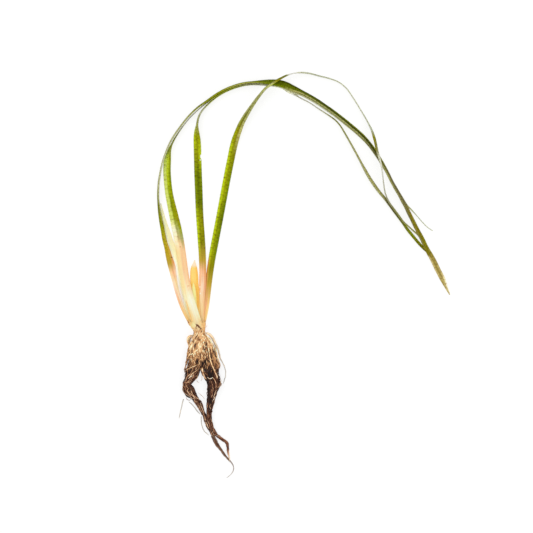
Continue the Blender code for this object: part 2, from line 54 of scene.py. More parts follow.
# Leaf routes. A row is x, y, lift, roll, width, droop.
# lift is the height of the blade's lowest edge, and roll its turn about its length in degrees:
# 0 lies flat, 90 stands on edge with the right-hand edge, looking towards the tip, on top.
# droop is how far both edges hang below the midline. A short row goes on as USUAL does.
OUTER_BASE = [
    (-4.9, 4.3, 0.8, 0, 5.6, -0.5), (-8.4, 10.2, 0.5, 0, 5.6, -0.3), (-12.3, 18, 0.35, 0, 5.3),
    (-15.5, 27, 0.3, 0, 5.2), (-18.3, 37), (-20.9, 46.5), (-22.8, 53.5, 0.3, 26), (-24.5, 60, 0.3, 45),
    (-26.5, 67.5, 0.3, 54), (-28.1, 75.8, 0.3, 57), (-29.6, 84, 0.3, 62), (-30.8, 92.2, 0.3, 70),
    (-31.4, 100.5, 0.3, 77), (-31.1, 108.8, 0.3, 81), (-29.9, 117.4, 0.3, 83), (-27.8, 126.8, 0.3, 83),
    (-24.8, 135.4, 0.3, 83), (-20.6, 144, 0.3, 83), (-15, 152.2, 0.3, 83), (-8.6, 160.3, 0.35, 83),
    (-2.2, 166.5, 0.4, 83),
]
OUTER_ARCH = [
    (5.2, 171.9, 0.4, 84), (13.8, 177.9, 0.45, 83), (22.6, 182.2, 0.45, 82), (32.2, 185.1, 0.55, 80),
    (42, 186.1, 0.85, 70), (49.5, 186.1, 1.42, 52), (56.2, 185.6, 1.85, 25), (63, 184.2, 2.1, 4),
    (69, 181.6, 1.85, 26), (75, 179.1, 0.8, 52), (83.8, 174.5, 0.4, 57), (93.6, 168.1, 0.35, 57),
    (103.2, 161.2, 0.35, 57), (112.2, 154, 0.4, 57), (120.8, 146.6, 0.65, 58), (127.5, 139.3, 1, 60),
    (133.8, 130.1, 1.3, 62, 5), (140, 119.2, 1.8, 63, 4.9), (144.8, 109.5, 2.3, 60, 4.8),
    (150, 100.5, 2.6, 55, 4.7), (154.5, 92.2, 2.6, 50, 4.6),
]
OUTER_TIP = [
    (158.9, 83.2, 2.1, 47, 4.4), (163.1, 75, 1.5, 42, 4.2), (167, 67.5, 1.3, 38, 4.2),
    (170.6, 60, 1.3, 35, 4.4), (174.9, 52.5, 0.8, 27, 4.5), (178.5, 45, 0.4, 18, 4.3),
    (182.4, 37.5, 0.2, 10, 3.9), (185.5, 30.5, 0.2, 5, 1.9), (187.4, 26.4, 0.2, 0, 0.6),
]
INNER_BASE = [
    (-2.1, 4.3, 4.9, 0, 7.4, 0.8), (-3.9, 10, 4.75, 0, 7.4, 0.7), (-5.9, 17, 4.45, 0, 7.2, 0.6),
    (-8.2, 24.5, 4.1, 0, 7.1, 0.6), (-10.1, 32, 3.6, 0, 7, 0.6), (-11.9, 41, 2.6, 0, 7, 0.6),
    (-13.5, 52.5, 1.65, 0, 7, 0.5), (-14.8, 62, 1.3, 0, 6.9, 0.4), (-17.3, 75, 0.7, 0, 6.7, 0.3),
    (-20.6, 90, 0.35, 0, 5.9, 0.1), (-23, 101, 0.3, 0, 5.3), (-24.4, 112.5), (-24.8, 120, 0.3, 3),
    (-24.5, 126.8, 0.3, 16), (-23.8, 131.4, 0.3, 40), (-22.8, 135.2, 0.3, 60), (-21.2, 139.2, 0.3, 74),
    (-18.9, 143.6, 0.3, 81), (-14, 151.1, 0.3, 83), (-7.9, 158.8, 0.3, 83), (-1.9, 164.7, 0.3, 83),
]
INNER_TIP = [
    (159, 89.8, 0.2, 66, 2), (162.8, 85.6, 0.2, 76, 1.8), (166.5, 81.3, 0.2, 80, 1.5),
    (170.6, 77.2, 0.2, 80, 1.1), (174.6, 74.4, 0.2, 75, 0.6),
]
MIDDLE_BASE = [
    (-0.1, 4.3, 2.2, 0, 5.6), (0.3, 10, 1.75, 0, 5.5), (0.6, 17, 1.45, 0, 5.3), (1, 24.5, 1.25, 0, 5.2),
    (1.6, 32, 1.15, 0, 5.2), (2, 41, 1.15, 0, 5.2), (1.8, 54, 0.7), (0.9, 69, 0.4), (-0.2, 85),
    (-1, 105, 0.3, 0, 5.2), (-1.5, 118.5, 0.3, 0, 5.2), (-1.8, 130, 0.3, 2), (-2, 138, 0.3, 10),
    (-2.3, 143.5, 0.3, 26), (-2.4, 147.8, 0.3, 45), (-2.4, 151.2, 0.3, 63), (-2.1, 154.4, 0.3, 77),
    (-1.5, 158, 0.3, 83), (-0.1, 161.8, 0.3, 84), (2.3, 165.4, 0.25, 84), (5.9, 169.2, 0.2, 84),
]
MIDDLE_TIP = [
    (82.5, 170.2, 0.2, 84), (90, 165.2, 0.2, 84), (97.5, 160.3, 0.2, 84), (101.6, 157.3, 0.2, 84),
    (105, 153.5, 0.2, 84), (108.5, 147.9, 0.2, 83), (112.2, 141.4, 0.2, 82), (115.9, 134.8, 0.2, 80, 5),
    (119.7, 127.7, 0.2, 76, 4.8), (123.6, 120.4, 0.2, 71, 4.6), (127.6, 113.4, 0.2, 68, 4.5),
    (131.2, 108, 0.2, 67, 4.4), (135, 102.9, 0.2, 67, 4.3), (138.6, 98.7, 0.2, 67, 4.2),
    (141.2, 95, 0.2, 68, 4.1), (144.4, 90.5, 0.2, 68, 4), (148.4, 85.2, 0.2, 67, 4),
    (152.5, 79.8, 0.2, 65, 4), (156, 75, 0.2, 63, 3.9), (159.8, 70.3, 0.2, 62, 3.8),
    (163.5, 65.9, 0.2, 58, 3.3), (167.2, 61.8, 0.2, 42, 2.3), (170.4, 58.3, 0.2, 20, 1),
]
RIGHT_BASE = [
    (1.3, 4.3, 0.6, 0, 5.2, -0.5), (2.6, 10, 0.4, 0, W, -0.3), (4, 17), (5, 24.5), (5.9, 32), (7.2, 42),
    (9, 54), (11.5, 67.5), (14.4, 82.5), (17.2, 97.5), (20, 112.5), (23, 127.5, 0.3, 1),
    (25.4, 138.8, 0.4, 12), (28, 147.2, 0.7, 29), (31.2, 155, 1.2, 45), (35.2, 162.2, 1.8, 57),
    (39.8, 169.2, 2.7, 67), (44.8, 176, 3.8, 74), (49.4, 181.2, 5.3, 78), (54.4, 184.9, 5.8, 79),
    (60, 188.3, 4.7, 79, 5), (66.8, 191.6, 3, 81, 5), (74.2, 193, 1.3, 84, 4.9),
    (81.8, 192.5, 0.6, 84, 4.8), (90, 190.4, 0.25, 84, 4.7), (98.2, 188.3, 0.2, 84, 4.6),
    (105, 185.4, 0.2, 84, 4.6), (109.5, 181.6, 0.2, 84, 4.6), (114.8, 174.3, 0.2, 84, 4.5),
    (120.8, 164.6, 0.2, 84, 4.4), (126, 155.6, 0.9, 82, 4.3), (129.3, 148.5, 2.4, 78, 4.2),
    (131.2, 141.8, 4.2, 74, 4.2), (132.8, 134.4, 5.7, 71, 4.1), (134.2, 129.6, 6.3, 70, 4.1),
    (135.5, 125, 6.6, 71, 4.1), (136.4, 120.4, 6.1, 75, 4), (137.1, 114.6, 4.5, 80, 4),
    (137.8, 109, 2.8, 83, 4), (138.8, 103.4, 1.4, 80, 3.9),
]
RIGHT_TIP = [
    (156.1, 77.9, 3.2, 73, 3.7), (158.8, 75.4, 4.1, 73, 3.6), (161.2, 73.3, 4.9, 71, 3.6),
    (163, 71.9, 5.1, 66, 3.5), (164.9, 69.7, 4.7, 58, 3.4), (166.5, 67, 4.2, 50, 3.3),
    (168.3, 63.4, 3.8, 43, 3.2), (170.2, 59.2, 3.75, 37, 2.5), (171.7, 55.8, 3.75, 32, 0.8),
]
SHEATH = [
    (-3.8, 4.3, 3.1, 0, 5), (-6.2, 10.5, 2.2, 0, 5), (-9.4, 18.5, 1.35, 0, 5),
    (-12.2, 28, 1.15, 0, 4.8), (-14.5, 37, 1.15, 0, 4.4), (-15.9, 45, 1.15, 0, 3.7),
    (-16.8, 50, 0.8, 0, 3.2), (-18.2, 55, 0.35, 0, 3.6), (-19.7, 60, 0.25, 0, 4),
    (-22.3, 67.5, 0.25, 4, 3.7), (-24.8, 76, 0.25, 8, 3), (-26.9, 83.5, 0.25, 12, 2.2),
    (-28.5, 90, 0.25, 12, 1.5), (-29.5, 95, 0.25, 10, 0.6),
]
YOUNG_OUTER = [
    (-2, 10.6, 3.1, 0, 4.2), (-2.8, 19, 2.4, 0, 5), (-3.6, 27, 2.1, 0, 5.8), (-4.2, 35, 2, 0, 6.1),
    (-4.4, 41, 1.9, 0, 6), (-4.5, 46, 1.6, 0, 4.9), (-4.2, 50, 1.4, 0, 2.3), (-4, 52.4, 1.3, 0, 0.6),
]
YOUNG_INNER = [
    (-2.7, 12.4, 3.75, 0, 3.4), (-3.4, 20, 3.25, 0, 3.8), (-4, 26, 2.95, 0, 3.9),
    (-4.4, 30.5, 2.88, 0, 3.5), (-4.7, 33.6, 2.85, 0, 2), (-4.8, 35.6, 2.85, 0, 0.6),
]

# Where two more leaves lie along the arch of the outer one, a row is its place in the arch,
# how far inward of it they lie, lift, roll and width, which is W where it is left out.
INNER_BESIDE_OUTER = [
    (0, 1.1, 0.3, 84), (1, 0.9, 0.3, 83), (2, 0.87, 0.3, 82), (3, 0.87, 0.36, 80), (4, 0.83, 0.52, 70),
    (5, 0.7, 0.76, 52), (6, 0.45, 1, 25), (7, 0.35, 1.12, 4), (8, 0.9, 1.05, 26), (9, 1.45, 1.15, 51),
    (10, 1.4, 0.95, 57), (11, 1.3, 0.75, 57), (12, 1.15, 0.5, 57), (13, 1.05, 0.4, 57),
    (14, 0.95, 0.25, 57, 5), (15, 0.75, 0.25, 57, 4.7), (16, 0.6, 0.2, 56, 4.1),
    (17, 0.25, 0.2, 54, 3.5), (18, 0.1, 0.2, 50, 3), (19, -0.6, 0.2, 52, 2.5), (20, -1.6, 0.2, 60, 2),
]
MIDDLE_BESIDE_OUTER = [
    (1, 1.8, 0.2, 83), (2, 1.75, 0.2, 81), (3, 1.75, 0.2, 79), (4, 1.7, 0.2, 70), (5, 1.5, 0.2, 52),
    (6, 0.9, 0.2, 25), (7, 1, 0.2, 3), (8, 2.5, 0.2, 28), (9, 4.2, 0.2, 72),
]
# The same for the right leaf along the tip of the middle one, on its outward side.
RIGHT_BESIDE_MIDDLE = [
    (14, -0.95, 0.65, 70, 3.8), (15, -0.95, 0.9, 69, 3.8), (16, -0.95, 1.5, 70, 3.8),
    (17, -1, 2.4, 72, 3.7),
]

# Root bundles. A row is centre x, y, half width and half height.
COLLAR = [
    (0, -3.9, 4.9, 3.7), (0.2, -6, 7.2, 4.5), (0.9, -10.5, 8.9, 4.9), (1.5, -15, 10.1, 5.1),
    (1.9, -21, 11.3, 5), (2.2, -25.6, 12.6, 4.7), (1.7, -30.3, 13.3, 4.3),
]
LEFT_STRAND = [
    (-5.8, -30.6, 5.7, 3.9), (-6.2, -34, 5.4, 3.5), (-8.2, -37.8, 4.1, 2.9), (-9.7, -40.2, 3.3, 2.8),
    (-8.9, -43.4, 4.5, 3), (-7.6, -46.8, 4.8, 3), (-4.7, -50.2, 3, 2.7), (-2.4, -53.5, 2.6, 2.5),
    (-0.2, -57.2, 2.2, 2.3), (1.3, -60.4, 1.8, 2), (2.3, -63.6, 1.4, 1.7),
]
RIGHT_STRAND = [
    (7.6, -30.6, 6.8, 4), (8.5, -34.4, 6.4, 3.8), (10, -37.8, 5.6, 3.6), (10.4, -40.6, 5.7, 3.4),
    (9.9, -43.8, 4.8, 3.3), (9.2, -47, 3.9, 3.1), (8.4, -51, 3.4, 2.8), (7.6, -56.2, 2.9, 2.5),
    (6.9, -60.6, 2.2, 2.2), (6.6, -63.6, 2, 2),
]
LOWER_STRAND = [
    (5.6, -63.9, 3.3, 2.3), (5.9, -67.4, 3.2, 2.2), (6.8, -70.6, 2.9, 2.1), (8.1, -73.8, 2.65, 2),
    (9.4, -76, 2.6, 1.9), (10.5, -78, 2.8, 1.8),
]

# Single roots. A row is x, y, radius and lift, which is USUAL_LIFT where it is left out.
FORK_RIGHT = [
    (13, -79.4, 1.2), (15.2, -81, 1.15), (17.8, -82.9, 1.15), (20, -84.4, 1.15), (20.7, -87.4, 1),
    (21.1, -91, 0.85), (21.8, -95.2, 0.55, 0.3),
]
FORK_LEFT = [
    (9.5, -79.4, 1.5), (11, -82.4, 1.5), (12.5, -85.2, 1.4), (14.2, -87.9, 1.25), (16, -90.4, 1.1),
    (18, -93.3, 0.95), (19.8, -95.4, 0.8), (21.9, -97.8, 0.6), (23.8, -99.9, 0.42), (25, -102.2, 0.36),
    (25.2, -104.6, 0.34), (24.2, -107, 0.32), (22.4, -109.2, 0.3), (19.8, -111, 0.3),
]
LOOP_LEFT = [
    (-6.9, -4.3, 0.95, 4.6), (-8.1, -4.8, 1, 3.9), (-9.1, -6.2, 1, 3), (-9.1, -8.3, 0.95, 2),
    (-8.6, -10.5, 0.8, 1), (-8.4, -13, 0.65, 0.4), (-9, -15.6, 0.5),
]
ARCH_RIGHT = [
    (5.1, -2.4, 0.8, 4.3), (6.9, -3, 0.85, 4.1), (9.5, -5.6, 0.85, 3.5), (11.4, -9.7, 0.8, 2.6),
    (13.2, -13.5, 0.72, 1.8), (14.3, -17.3, 0.62, 1.1), (15.3, -21.4, 0.5, 0.5), (17, -24.6, 0.38, 0.2),
    (18.7, -28.6, 0.33), (19.3, -33, 0.3), (18.5, -37, 0.3), (17.2, -40.4, 0.3),
]
HAIR_LEFT = [
    (-12.4, -51.9, 0.35), (-13.2, -54.8, 0.33), (-14.2, -59.2, 0.3), (-15.1, -63, 0.3),
    (-15.8, -66.8, 0.28),
]
HAIR_BETWEEN = [
    (-8.3, -54, 0.28), (-6.2, -55.8, 0.3, 0.2), (-3.9, -58.5, 0.32, 0.4), (-1.7, -61.4, 0.32, 0.4),
    (0.1, -63.3, 0.3, 0.4),
]
HAIR_LOWER = [
    (1, -64.9, 0.3, 0.2), (0.8, -67.2, 0.3), (1.3, -71.2, 0.3), (2.6, -75, 0.3), (4.5, -77.4, 0.28),
    (6.6, -78.9, 0.28),
]


def smooth_rows(rows, step):
    """Rows about one step apart on the smooth curve through the given rows."""
    rows = np.array(rows, float)
    gaps = np.hypot(*np.diff(rows[:, :2], axis=0).T)
    run = np.concatenate([[0.0], np.cumsum(gaps)])
    slope = np.gradient(rows, run, axis=0)
    at = np.linspace(0.0, run[-1], max(2, round(run[-1] / step)) + 1)
    first = np.clip(np.searchsorted(run, at, side="right") - 1, 0, len(run) - 2)
    length = (run[first + 1] - run[first])[:, None]
    part = (at - run[first])[:, None] / length
    rest = 1.0 - part
    return (
        (1.0 + 2.0 * part) * rest**2 * rows[first]
        + part * rest**2 * length * slope[first]
        + part**2 * (3.0 - 2.0 * part) * rows[first + 1]
        - part**2 * rest * length * slope[first + 1]
    )


def beside(route, start, companions):
    """Leaf rows that lie along a route, each offset to its right-hand side."""
    points = np.array([row[:2] for row in route], float)
    rows = []
    for place, inward, *rest in companions:
        index = start + place
        ahead = points[index + 1] - points[index - 1]
        ahead /= np.linalg.norm(ahead)
        x = points[index][0] + ahead[1] * inward
        y = points[index][1] - ahead[0] * inward
        rows.append((x, y, *rest))
    return rows


def leaf_routes():
    """Every leaf's route by name, from its base to its tip."""
    outer = OUTER_BASE + OUTER_ARCH + OUTER_TIP
    arch = len(OUTER_BASE)
    routes = {
        "leaf_outer_left": outer,
        "leaf_inner_left": INNER_BASE + beside(outer, arch, INNER_BESIDE_OUTER) + INNER_TIP,
        "leaf_middle": MIDDLE_BASE + beside(outer, arch, MIDDLE_BESIDE_OUTER) + MIDDLE_TIP,
        "leaf_right": RIGHT_BASE + beside(MIDDLE_TIP, 0, RIGHT_BESIDE_MIDDLE) + RIGHT_TIP,
        "leaf_sheath": SHEATH,
        "young_leaf_outer": YOUNG_OUTER,
        "young_leaf_inner": YOUNG_INNER,
    }
    return {name: [row + USUAL[len(row) - 2:] for row in rows] for name, rows in routes.items()}


def linear(colour):
    """A display colour, three values of 0 to 255, as the four that a shader takes.

    Four values are passed on as they are.
    """
    if len(colour) == 4:
        return colour
    parts = np.array(colour) / 255.0
    low = parts / 12.92
    high = ((parts + 0.055) / 1.055) ** 2.4
    return (*np.where(parts <= 0.04045, low, high).tolist(), 1.0)


def adds(operation, swapped=False):
    """The method of a Value that adds this Math node."""

    def method(self, *others):
        return self.shading.math(operation, *((*others, self) if swapped else (self, *others)))

    return method


class Value:
    """What a shader node gives out. A plain sum with it adds the Math nodes for it."""

    def __init__(self, shading, socket):
        self.shading = shading
        self.socket = socket

    __add__, __radd__ = adds("ADD"), adds("ADD", True)
    __sub__, __rsub__ = adds("SUBTRACT"), adds("SUBTRACT", True)
    __mul__, __truediv__, __pow__ = adds("MULTIPLY"), adds("DIVIDE"), adds("POWER")
    __abs__, floor, sine = adds("ABSOLUTE"), adds("FLOOR"), adds("SINE")


class Shading:
    """Short calls that add and link the shader nodes of one material."""

    def __init__(self, name):
        self.material = bpy.data.materials.new(name)
        self.material.use_nodes = True
        self.tree = self.material.node_tree
        self.tree.nodes.clear()

    def node(self, kind, inputs=(), **settings):
        """A new node, with its inputs by name or number, or in their order."""
        node = self.tree.nodes.new("ShaderNode" + kind)
        for key, value in settings.items():
            setattr(node, key, value)
        for key, value in inputs.items() if isinstance(inputs, dict) else enumerate(inputs):
            socket = node.inputs[key]
            if isinstance(value, Value):
                self.tree.links.new(value.socket, socket)
            else:
                socket.default_value = linear(value) if socket.type == "RGBA" else value
        return node

    def put(self, kind, inputs=(), output=0, **settings):
        return Value(self, self.node(kind, inputs, **settings).outputs[output])

    def math(self, operation, *values):
        return self.put("Math", values, operation=operation)

    def blend(self, factor, first, second, kind="MIX"):
        inputs = {0: factor, 6: first, 7: second}
        return self.put("Mix", inputs, 2, data_type="RGBA", blend_type=kind, clamp_result=True)

    def times(self, first, second):
        return self.blend(1.0, first, second, "MULTIPLY")

    def ramp(self, factor, stops):
        node = self.node("ValToRGB", [factor])
        elements = node.color_ramp.elements
        for element, (place, colour) in zip((elements[0], elements[-1]), (stops[0], stops[-1])):
            element.position = place
            element.color = linear(colour)
        for place, colour in stops[1:-1]:
            elements.new(place).color = linear(colour)
        return Value(self, node.outputs[0])

    def noise(self, vector, scale, detail=3.0, roughness=0.55):
        inputs = {"Vector": vector, "Scale": scale, "Detail": detail, "Roughness": roughness}
        return self.put("TexNoise", inputs)

    def step(self, value, low, high, to_low=0.0, to_high=1.0):
        inputs = (value, low, high, to_low, to_high)
        return self.put("MapRange", inputs, interpolation_type="SMOOTHSTEP")

    def join(self, x, y, z=0.0):
        return self.put("CombineXYZ", (x, y, z))

    def split(self, vector):
        return [Value(self, socket) for socket in self.node("SeparateXYZ", [vector]).outputs]

    def distance(self, first, second):
        return self.put("VectorMath", (first, second), "Value", operation="DISTANCE")

    def attribute(self, name, output="Fac"):
        return self.put("Attribute", (), output, attribute_name=name)

    def place(self):
        return self.put("TexCoord", (), "Object")

    def bump(self, height, strength, distance):
        return self.put("Bump", {"Height": height, "Strength": strength, "Distance": distance})

    def surface(self, colour, roughness, normal, glow=None, glow_share=0.0, gloss=1.45):
        """Skin with this refractive index, and light that comes through from behind."""
        inputs = {"Base Color": colour, "Roughness": roughness, "IOR": gloss, "Normal": normal}
        last = self.put("BsdfPrincipled", inputs)
        if glow is not None:
            through = self.put("BsdfTranslucent", {"Color": glow, "Normal": normal})
            last = self.put("MixShader", (glow_share, last, through))
        self.node("OutputMaterial", {"Surface": last})
        return self.material


def wander(rng, run, wave, amount):
    """A smooth random line over the run, with waves about this long and this high."""
    total = np.zeros_like(run)
    for share in (1.0, 0.6, 0.35):
        length = wave * share * rng.uniform(0.8, 1.25)
        total += share * np.sin(math.tau * (run / length + rng.uniform()))
    sum_of_shares = 1.95
    return total * amount / sum_of_shares


def unit(vectors):
    """The vectors, each brought to a length of one."""
    return vectors / np.linalg.norm(vectors, axis=1)[:, None]


def add(name, data):
    """An object in the scene that holds this data."""
    item = bpy.data.objects.new(name, data)
    bpy.context.scene.collection.objects.link(item)
    return item


def new_piece(name, points, faces, material, nodes):
    """A mesh piece from points in millimetres, which stands for these nodes."""
    mesh = bpy.data.meshes.new(name)
    mesh.from_pydata((points * MM).tolist(), [], faces)
    mesh.polygons.foreach_set("use_smooth", [True] * len(mesh.polygons))
    mesh.materials.append(material)
    mesh.update()
    piece = add(name, mesh)
    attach(piece, "root")
    if nodes:
        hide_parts(*nodes)
    return piece


def set_attribute(piece, name, values, kind="FLOAT"):
    layer = piece.data.attributes.new(name, kind, "POINT")
    key = "vector" if kind == "FLOAT_VECTOR" else "value"
    layer.data.foreach_set(key, np.asarray(values, np.float32).ravel())


def ring_faces(rows, sides, start=0, mirrored=False):
    """The faces of a round body of rings, closed at both ends."""
    index = start + np.arange(rows * sides).reshape(rows, sides)
    nxt = np.roll(index, -1, axis=1)
    faces = np.stack([index[:-1], nxt[:-1], nxt[1:], index[1:]], axis=-1).reshape(-1, 4)
    turn = -1
    if mirrored:
        faces = faces[:, [0, 3, 2, 1]]
        turn = 1
    return faces.tolist() + [index[0, ::turn].tolist(), index[-1, ::-turn].tolist()]


STEEPEST = (-60.0, 75.0)  # degrees that a blade turns at most, so that its colour shows from above
LEAST_WIDTH = 0.3
LEAST_LIFT = 0.12
BLADE_STEP = 0.8  # between the points along a blade
ACROSS = 17  # points across a blade
THICKEST = 0.24  # half the thickness of a blade
LOWEST = 0.02  # height of the lowest point of any piece


def blade_frames(route):
    """Centre, width direction, upper normal, half width, droop, length along a leaf and lean.

    lean is 0 where the blade lies flat and 1 where it stands on edge.
    """
    x, y, lift, roll, width, droop = smooth_rows(route, BLADE_STEP).T
    roll = np.radians(np.clip(roll, *STEEPEST))
    half = np.maximum(width, LEAST_WIDTH) / 2.0
    z = np.maximum(lift, LEAST_LIFT) + half * np.abs(np.sin(roll)) + np.maximum(droop, 0.0)
    z += 0.25 * np.cos(roll)
    centre = np.stack([x, y, z], axis=1)
    ahead = unit(np.gradient(centre, axis=0))
    side = unit(np.cross(ahead, (0.0, 0.0, 1.0)))
    rise = np.cross(side, ahead)
    across = np.cos(roll)[:, None] * side + np.sin(roll)[:, None] * rise
    normal = np.cos(roll)[:, None] * rise - np.sin(roll)[:, None] * side
    gaps = np.linalg.norm(np.diff(centre, axis=0), axis=1)
    run = np.concatenate([[0.0], np.cumsum(gaps)])
    lean = np.clip((0.85 - np.cos(roll)) / 0.5, 0.0, 1.0)
    return centre, across, normal, half, droop, run, lean


def make_blade(
    node, route, start, seed, stops, spots=(), lines=(),
    swell=((0, 1),), bites=(), ruffle=0.14, **tissue
):
    """A leaf with a thin edge, a grooved midrib and gently ruffled sides.

    Places along the leaf count from start. A row of swell is a place along the leaf and the
    share of the route's width that it has there. A bite is its place, its length and its depth.
    """
    centre, across, normal, half, droop, run, lean = blade_frames(route)
    run = run - start
    half = half * np.interp(run, *np.array(swell, float).T)
    rng = np.random.default_rng(seed)
    u = np.linspace(-1.0, 1.0, ACROSS)
    left = wander(rng, run, 17.0, ruffle)[:, None]
    right = wander(rng, run, 13.0, ruffle)[:, None]
    fade = np.clip(run / 40.0, 0.0, 1.0) * np.clip((run[-1] - run) / 10.0, 0.15, 1.0)
    fade = (fade * (1.0 - 0.8 * lean))[:, None]
    edge = np.where(u < 0.0, left, right) * fade
    sway = wander(rng, run, 31.0, 0.08)[:, None] * fade
    height = edge * np.abs(u) ** 2.2 + sway * (1.0 - u**2)
    height = height - droop[:, None] * u**2
    height += 0.035 * np.cos(u * math.pi * 4.0) * (1.0 - u**4)
    teeth = wander(rng, run, 2.4, 1.0) * (1.0 - lean)
    reach = half[:, None] * u * (1.0 + 0.012 * teeth[:, None] * (np.abs(u) > 0.9))
    for place, length, depth in bites:
        bite = depth * np.exp(-(((run - place) / length) ** 4))[:, None]
        reach = np.where(u > 0.0, reach * (1.0 - bite * u), reach)
    centre, across, normal = centre[:, None], across[:, None], normal[:, None]
    middle = centre + across * reach[:, :, None] + normal * height[:, :, None]
    facing = np.cross(np.gradient(middle, axis=1), np.gradient(middle, axis=0))
    facing = facing[:, :, 2] / np.linalg.norm(facing, axis=2)
    turned = lean[:, None] * np.clip(facing / 0.15, 0.0, 1.0)
    thick = np.minimum(0.1 + 0.16 * (1.0 - u**2), THICKEST)[:, None]
    groove = 0.05 * np.exp(-((u / 0.10) ** 2))[:, None]
    points = np.stack([middle + normal * (thick - groove), middle - normal * (thick + groove)])
    points[..., 2] = np.maximum(points[..., 2], LOWEST)

    rows = len(run)
    count = rows * ACROSS
    index = np.arange(count).reshape(rows, ACROSS)
    a, b, c, d = index[:-1, :-1], index[:-1, 1:], index[1:, 1:], index[1:, :-1]
    faces = np.stack([a, b, c, d], axis=-1).reshape(-1, 4).tolist()
    faces += (np.stack([a, d, c, b], axis=-1).reshape(-1, 4) + count).tolist()
    for line, turn in ((index[:, 0], 1), (index[:, -1], -1), (index[0], 1), (index[-1], -1)):
        strip = np.stack([line[:-1], line[1:], line[1:] + count, line[:-1] + count], axis=-1)
        faces += strip[:, ::turn].tolist()
    material = leaf_material(node + "_tissue", stops, spots, lines, **tissue)
    name = "blade_" + node.replace("leaf_", "")
    piece = new_piece(name, points.reshape(-1, 3), faces, material, [node])
    grid = np.zeros((2, rows, ACROSS, 3))
    grid[..., 0] = (u + 1.0) / 2.0
    grid[..., 1] = run[:, None]
    grid[1, ..., 2] = 1.0
    set_attribute(piece, "blade", grid, "FLOAT_VECTOR")
    set_attribute(piece, "lean", np.tile(np.repeat(lean, ACROSS), 2))
    set_attribute(piece, "turned", np.stack([np.zeros_like(turned), turned]))


LEAF_GLOSS = 1.14  # refractive index, low so that the leaf doesn't mirror the bright surroundings
RIPE = (1.32, 1.33, 1.29, 1.0)  # how much brighter than its palette the green of a leaf is
TENDER = (1.17, 1.18, 1.16, 1.0)  # and its pale base


def leaf_material(
    name, stops, spots=(), lines=(), through=0.3, veins=1.0,
    green=(48, 66), meet=(0.16, 0.44, 0.56, 0.84)
):
    """Leaf tissue: colours along it, parallel veins, cross veins and blotches.

    A stop is the length along the leaf with the colours of its left, middle and right. Colours
    that it leaves out are like its last. A spot is its place along and across the leaf, its size
    in millimetres and its colour. A line is its place across, its half width as a share of the
    leaf, where it starts and ends, its colour and its strength. The cross veins fade in over the
    lengths in green, and the three colours blend over the places across in meet.
    """
    s = Shading(name)
    across, along, back = s.split(s.attribute("blade", "Vector"))
    sheet = s.join(across * W, along, back * 7.0)
    whole = stops[-1][0]
    place = along / whole
    broad = s.noise(sheet, 0.12, 3.0)
    fine = s.noise(sheet, 0.9, 4.0, 0.65)
    left, middle, right = (
        s.ramp(place, [(row[0] / whole, (row + row[-1:] * 2)[k]) for row in stops]) for k in (1, 2, 3)
    )
    turn = across + (broad - 0.5) * 0.3
    colour = s.blend(s.step(turn, *meet[:2]), left, middle)
    colour = s.blend(s.step(turn, *meet[2:]), colour, right)
    # Where a blade stands on edge, its back faces that face down take the green FERN, so the painted
    # light of the colour tables stays on the faces seen from above.
    colour = s.blend(s.attribute("turned") * 0.8, colour, FERN)

    grown = s.step(along, *green)
    bands = s.noise(s.join(across * 1.2, along * 0.45, back), 1.0, 3.0, 0.6)
    grainy = (fine - 0.5) * (0.12 + grown * 0.3)
    banded = (s.step(bands, 0.3, 0.72) - 0.54) * (0.04 + grown * 0.22)
    broad_veins = s.step(abs((across * (math.pi * 4.0)).sine()), 0.0, 0.42, 0.7, 0.0)
    fine_veins = s.step(abs((across * (math.pi * 16.0)).sine()), 0.0, 0.6, 0.3, 0.0)
    row = (across * 2.0).floor() * 0.43
    cross = abs(((along * 0.3 + broad * 1.1 + row) * math.pi).sine())
    patchy = s.step(s.noise(sheet, 0.35, 2.0), 0.38, 0.58, 0.25, 1.0)
    cross = s.step(cross, 0.0, 0.6, 1.0, 0.0) * grown * patchy
    blotch = s.step(s.noise(sheet, 0.55, 3.0, 0.6), 0.54, 0.66, 0.0, 0.2) * grown
    fibre = s.noise(s.join(across * 9.0, along * 0.03, back), 1.0, 2.0)
    base = s.step(fibre, 0.35, 0.65, 0.15, 0.0) * (1.0 - grown)
    weave = (broad_veins + fine_veins) * 0.12 + cross * 0.46
    midrib = s.step(abs(across - 0.5), 0.02, 0.08, 0.08, 0.0)
    dark = weave + midrib + (base + blotch)
    tone = (banded + 1.0) * (grainy + 1.0) * (1.0 - dark * veins)
    colour = s.times(colour, s.join(tone**0.8, tone, tone))
    for at, half, start, end, shade, strength in lines:
        off = abs(across + fine * 0.08 - (at + 0.04))
        reach = s.step(along, start, start + 4.0) * s.step(along, end - 4.0, end, 1.0, 0.0)
        colour = s.blend(s.step(off, half * 0.5, half, strength, 0.0) * reach, colour, shade)
    for at, where, size, shade in spots:
        ragged = s.distance(sheet, (where * W, at, 0.0)) + (fine - 0.5) * (size * 1.6)
        colour = s.blend(s.step(ragged, size * 0.5, size, 0.85, 0.0), colour, shade)
    tender = s.times(colour, TENDER)
    ripe = s.times(colour, RIPE)
    colour = s.blend(grown, tender, ripe)

    normal = s.bump(weave * 2.0 + grainy * 1.4, 0.5, 0.00012)
    rough = s.step(fine, 0.3, 0.7, 0.36, 0.52) + s.attribute("lean") * 0.46
    return s.surface(colour, rough, normal, colour, through, LEAF_GLOSS)


ROOT_GLOSS = 1.3
ROOT_GAIN = (1.38, 1.38, 1.38, 1.0)  # how much brighter than their palette the roots are
GREYER = (-0.040, -0.022)  # metres in y over which the roots turn greyer


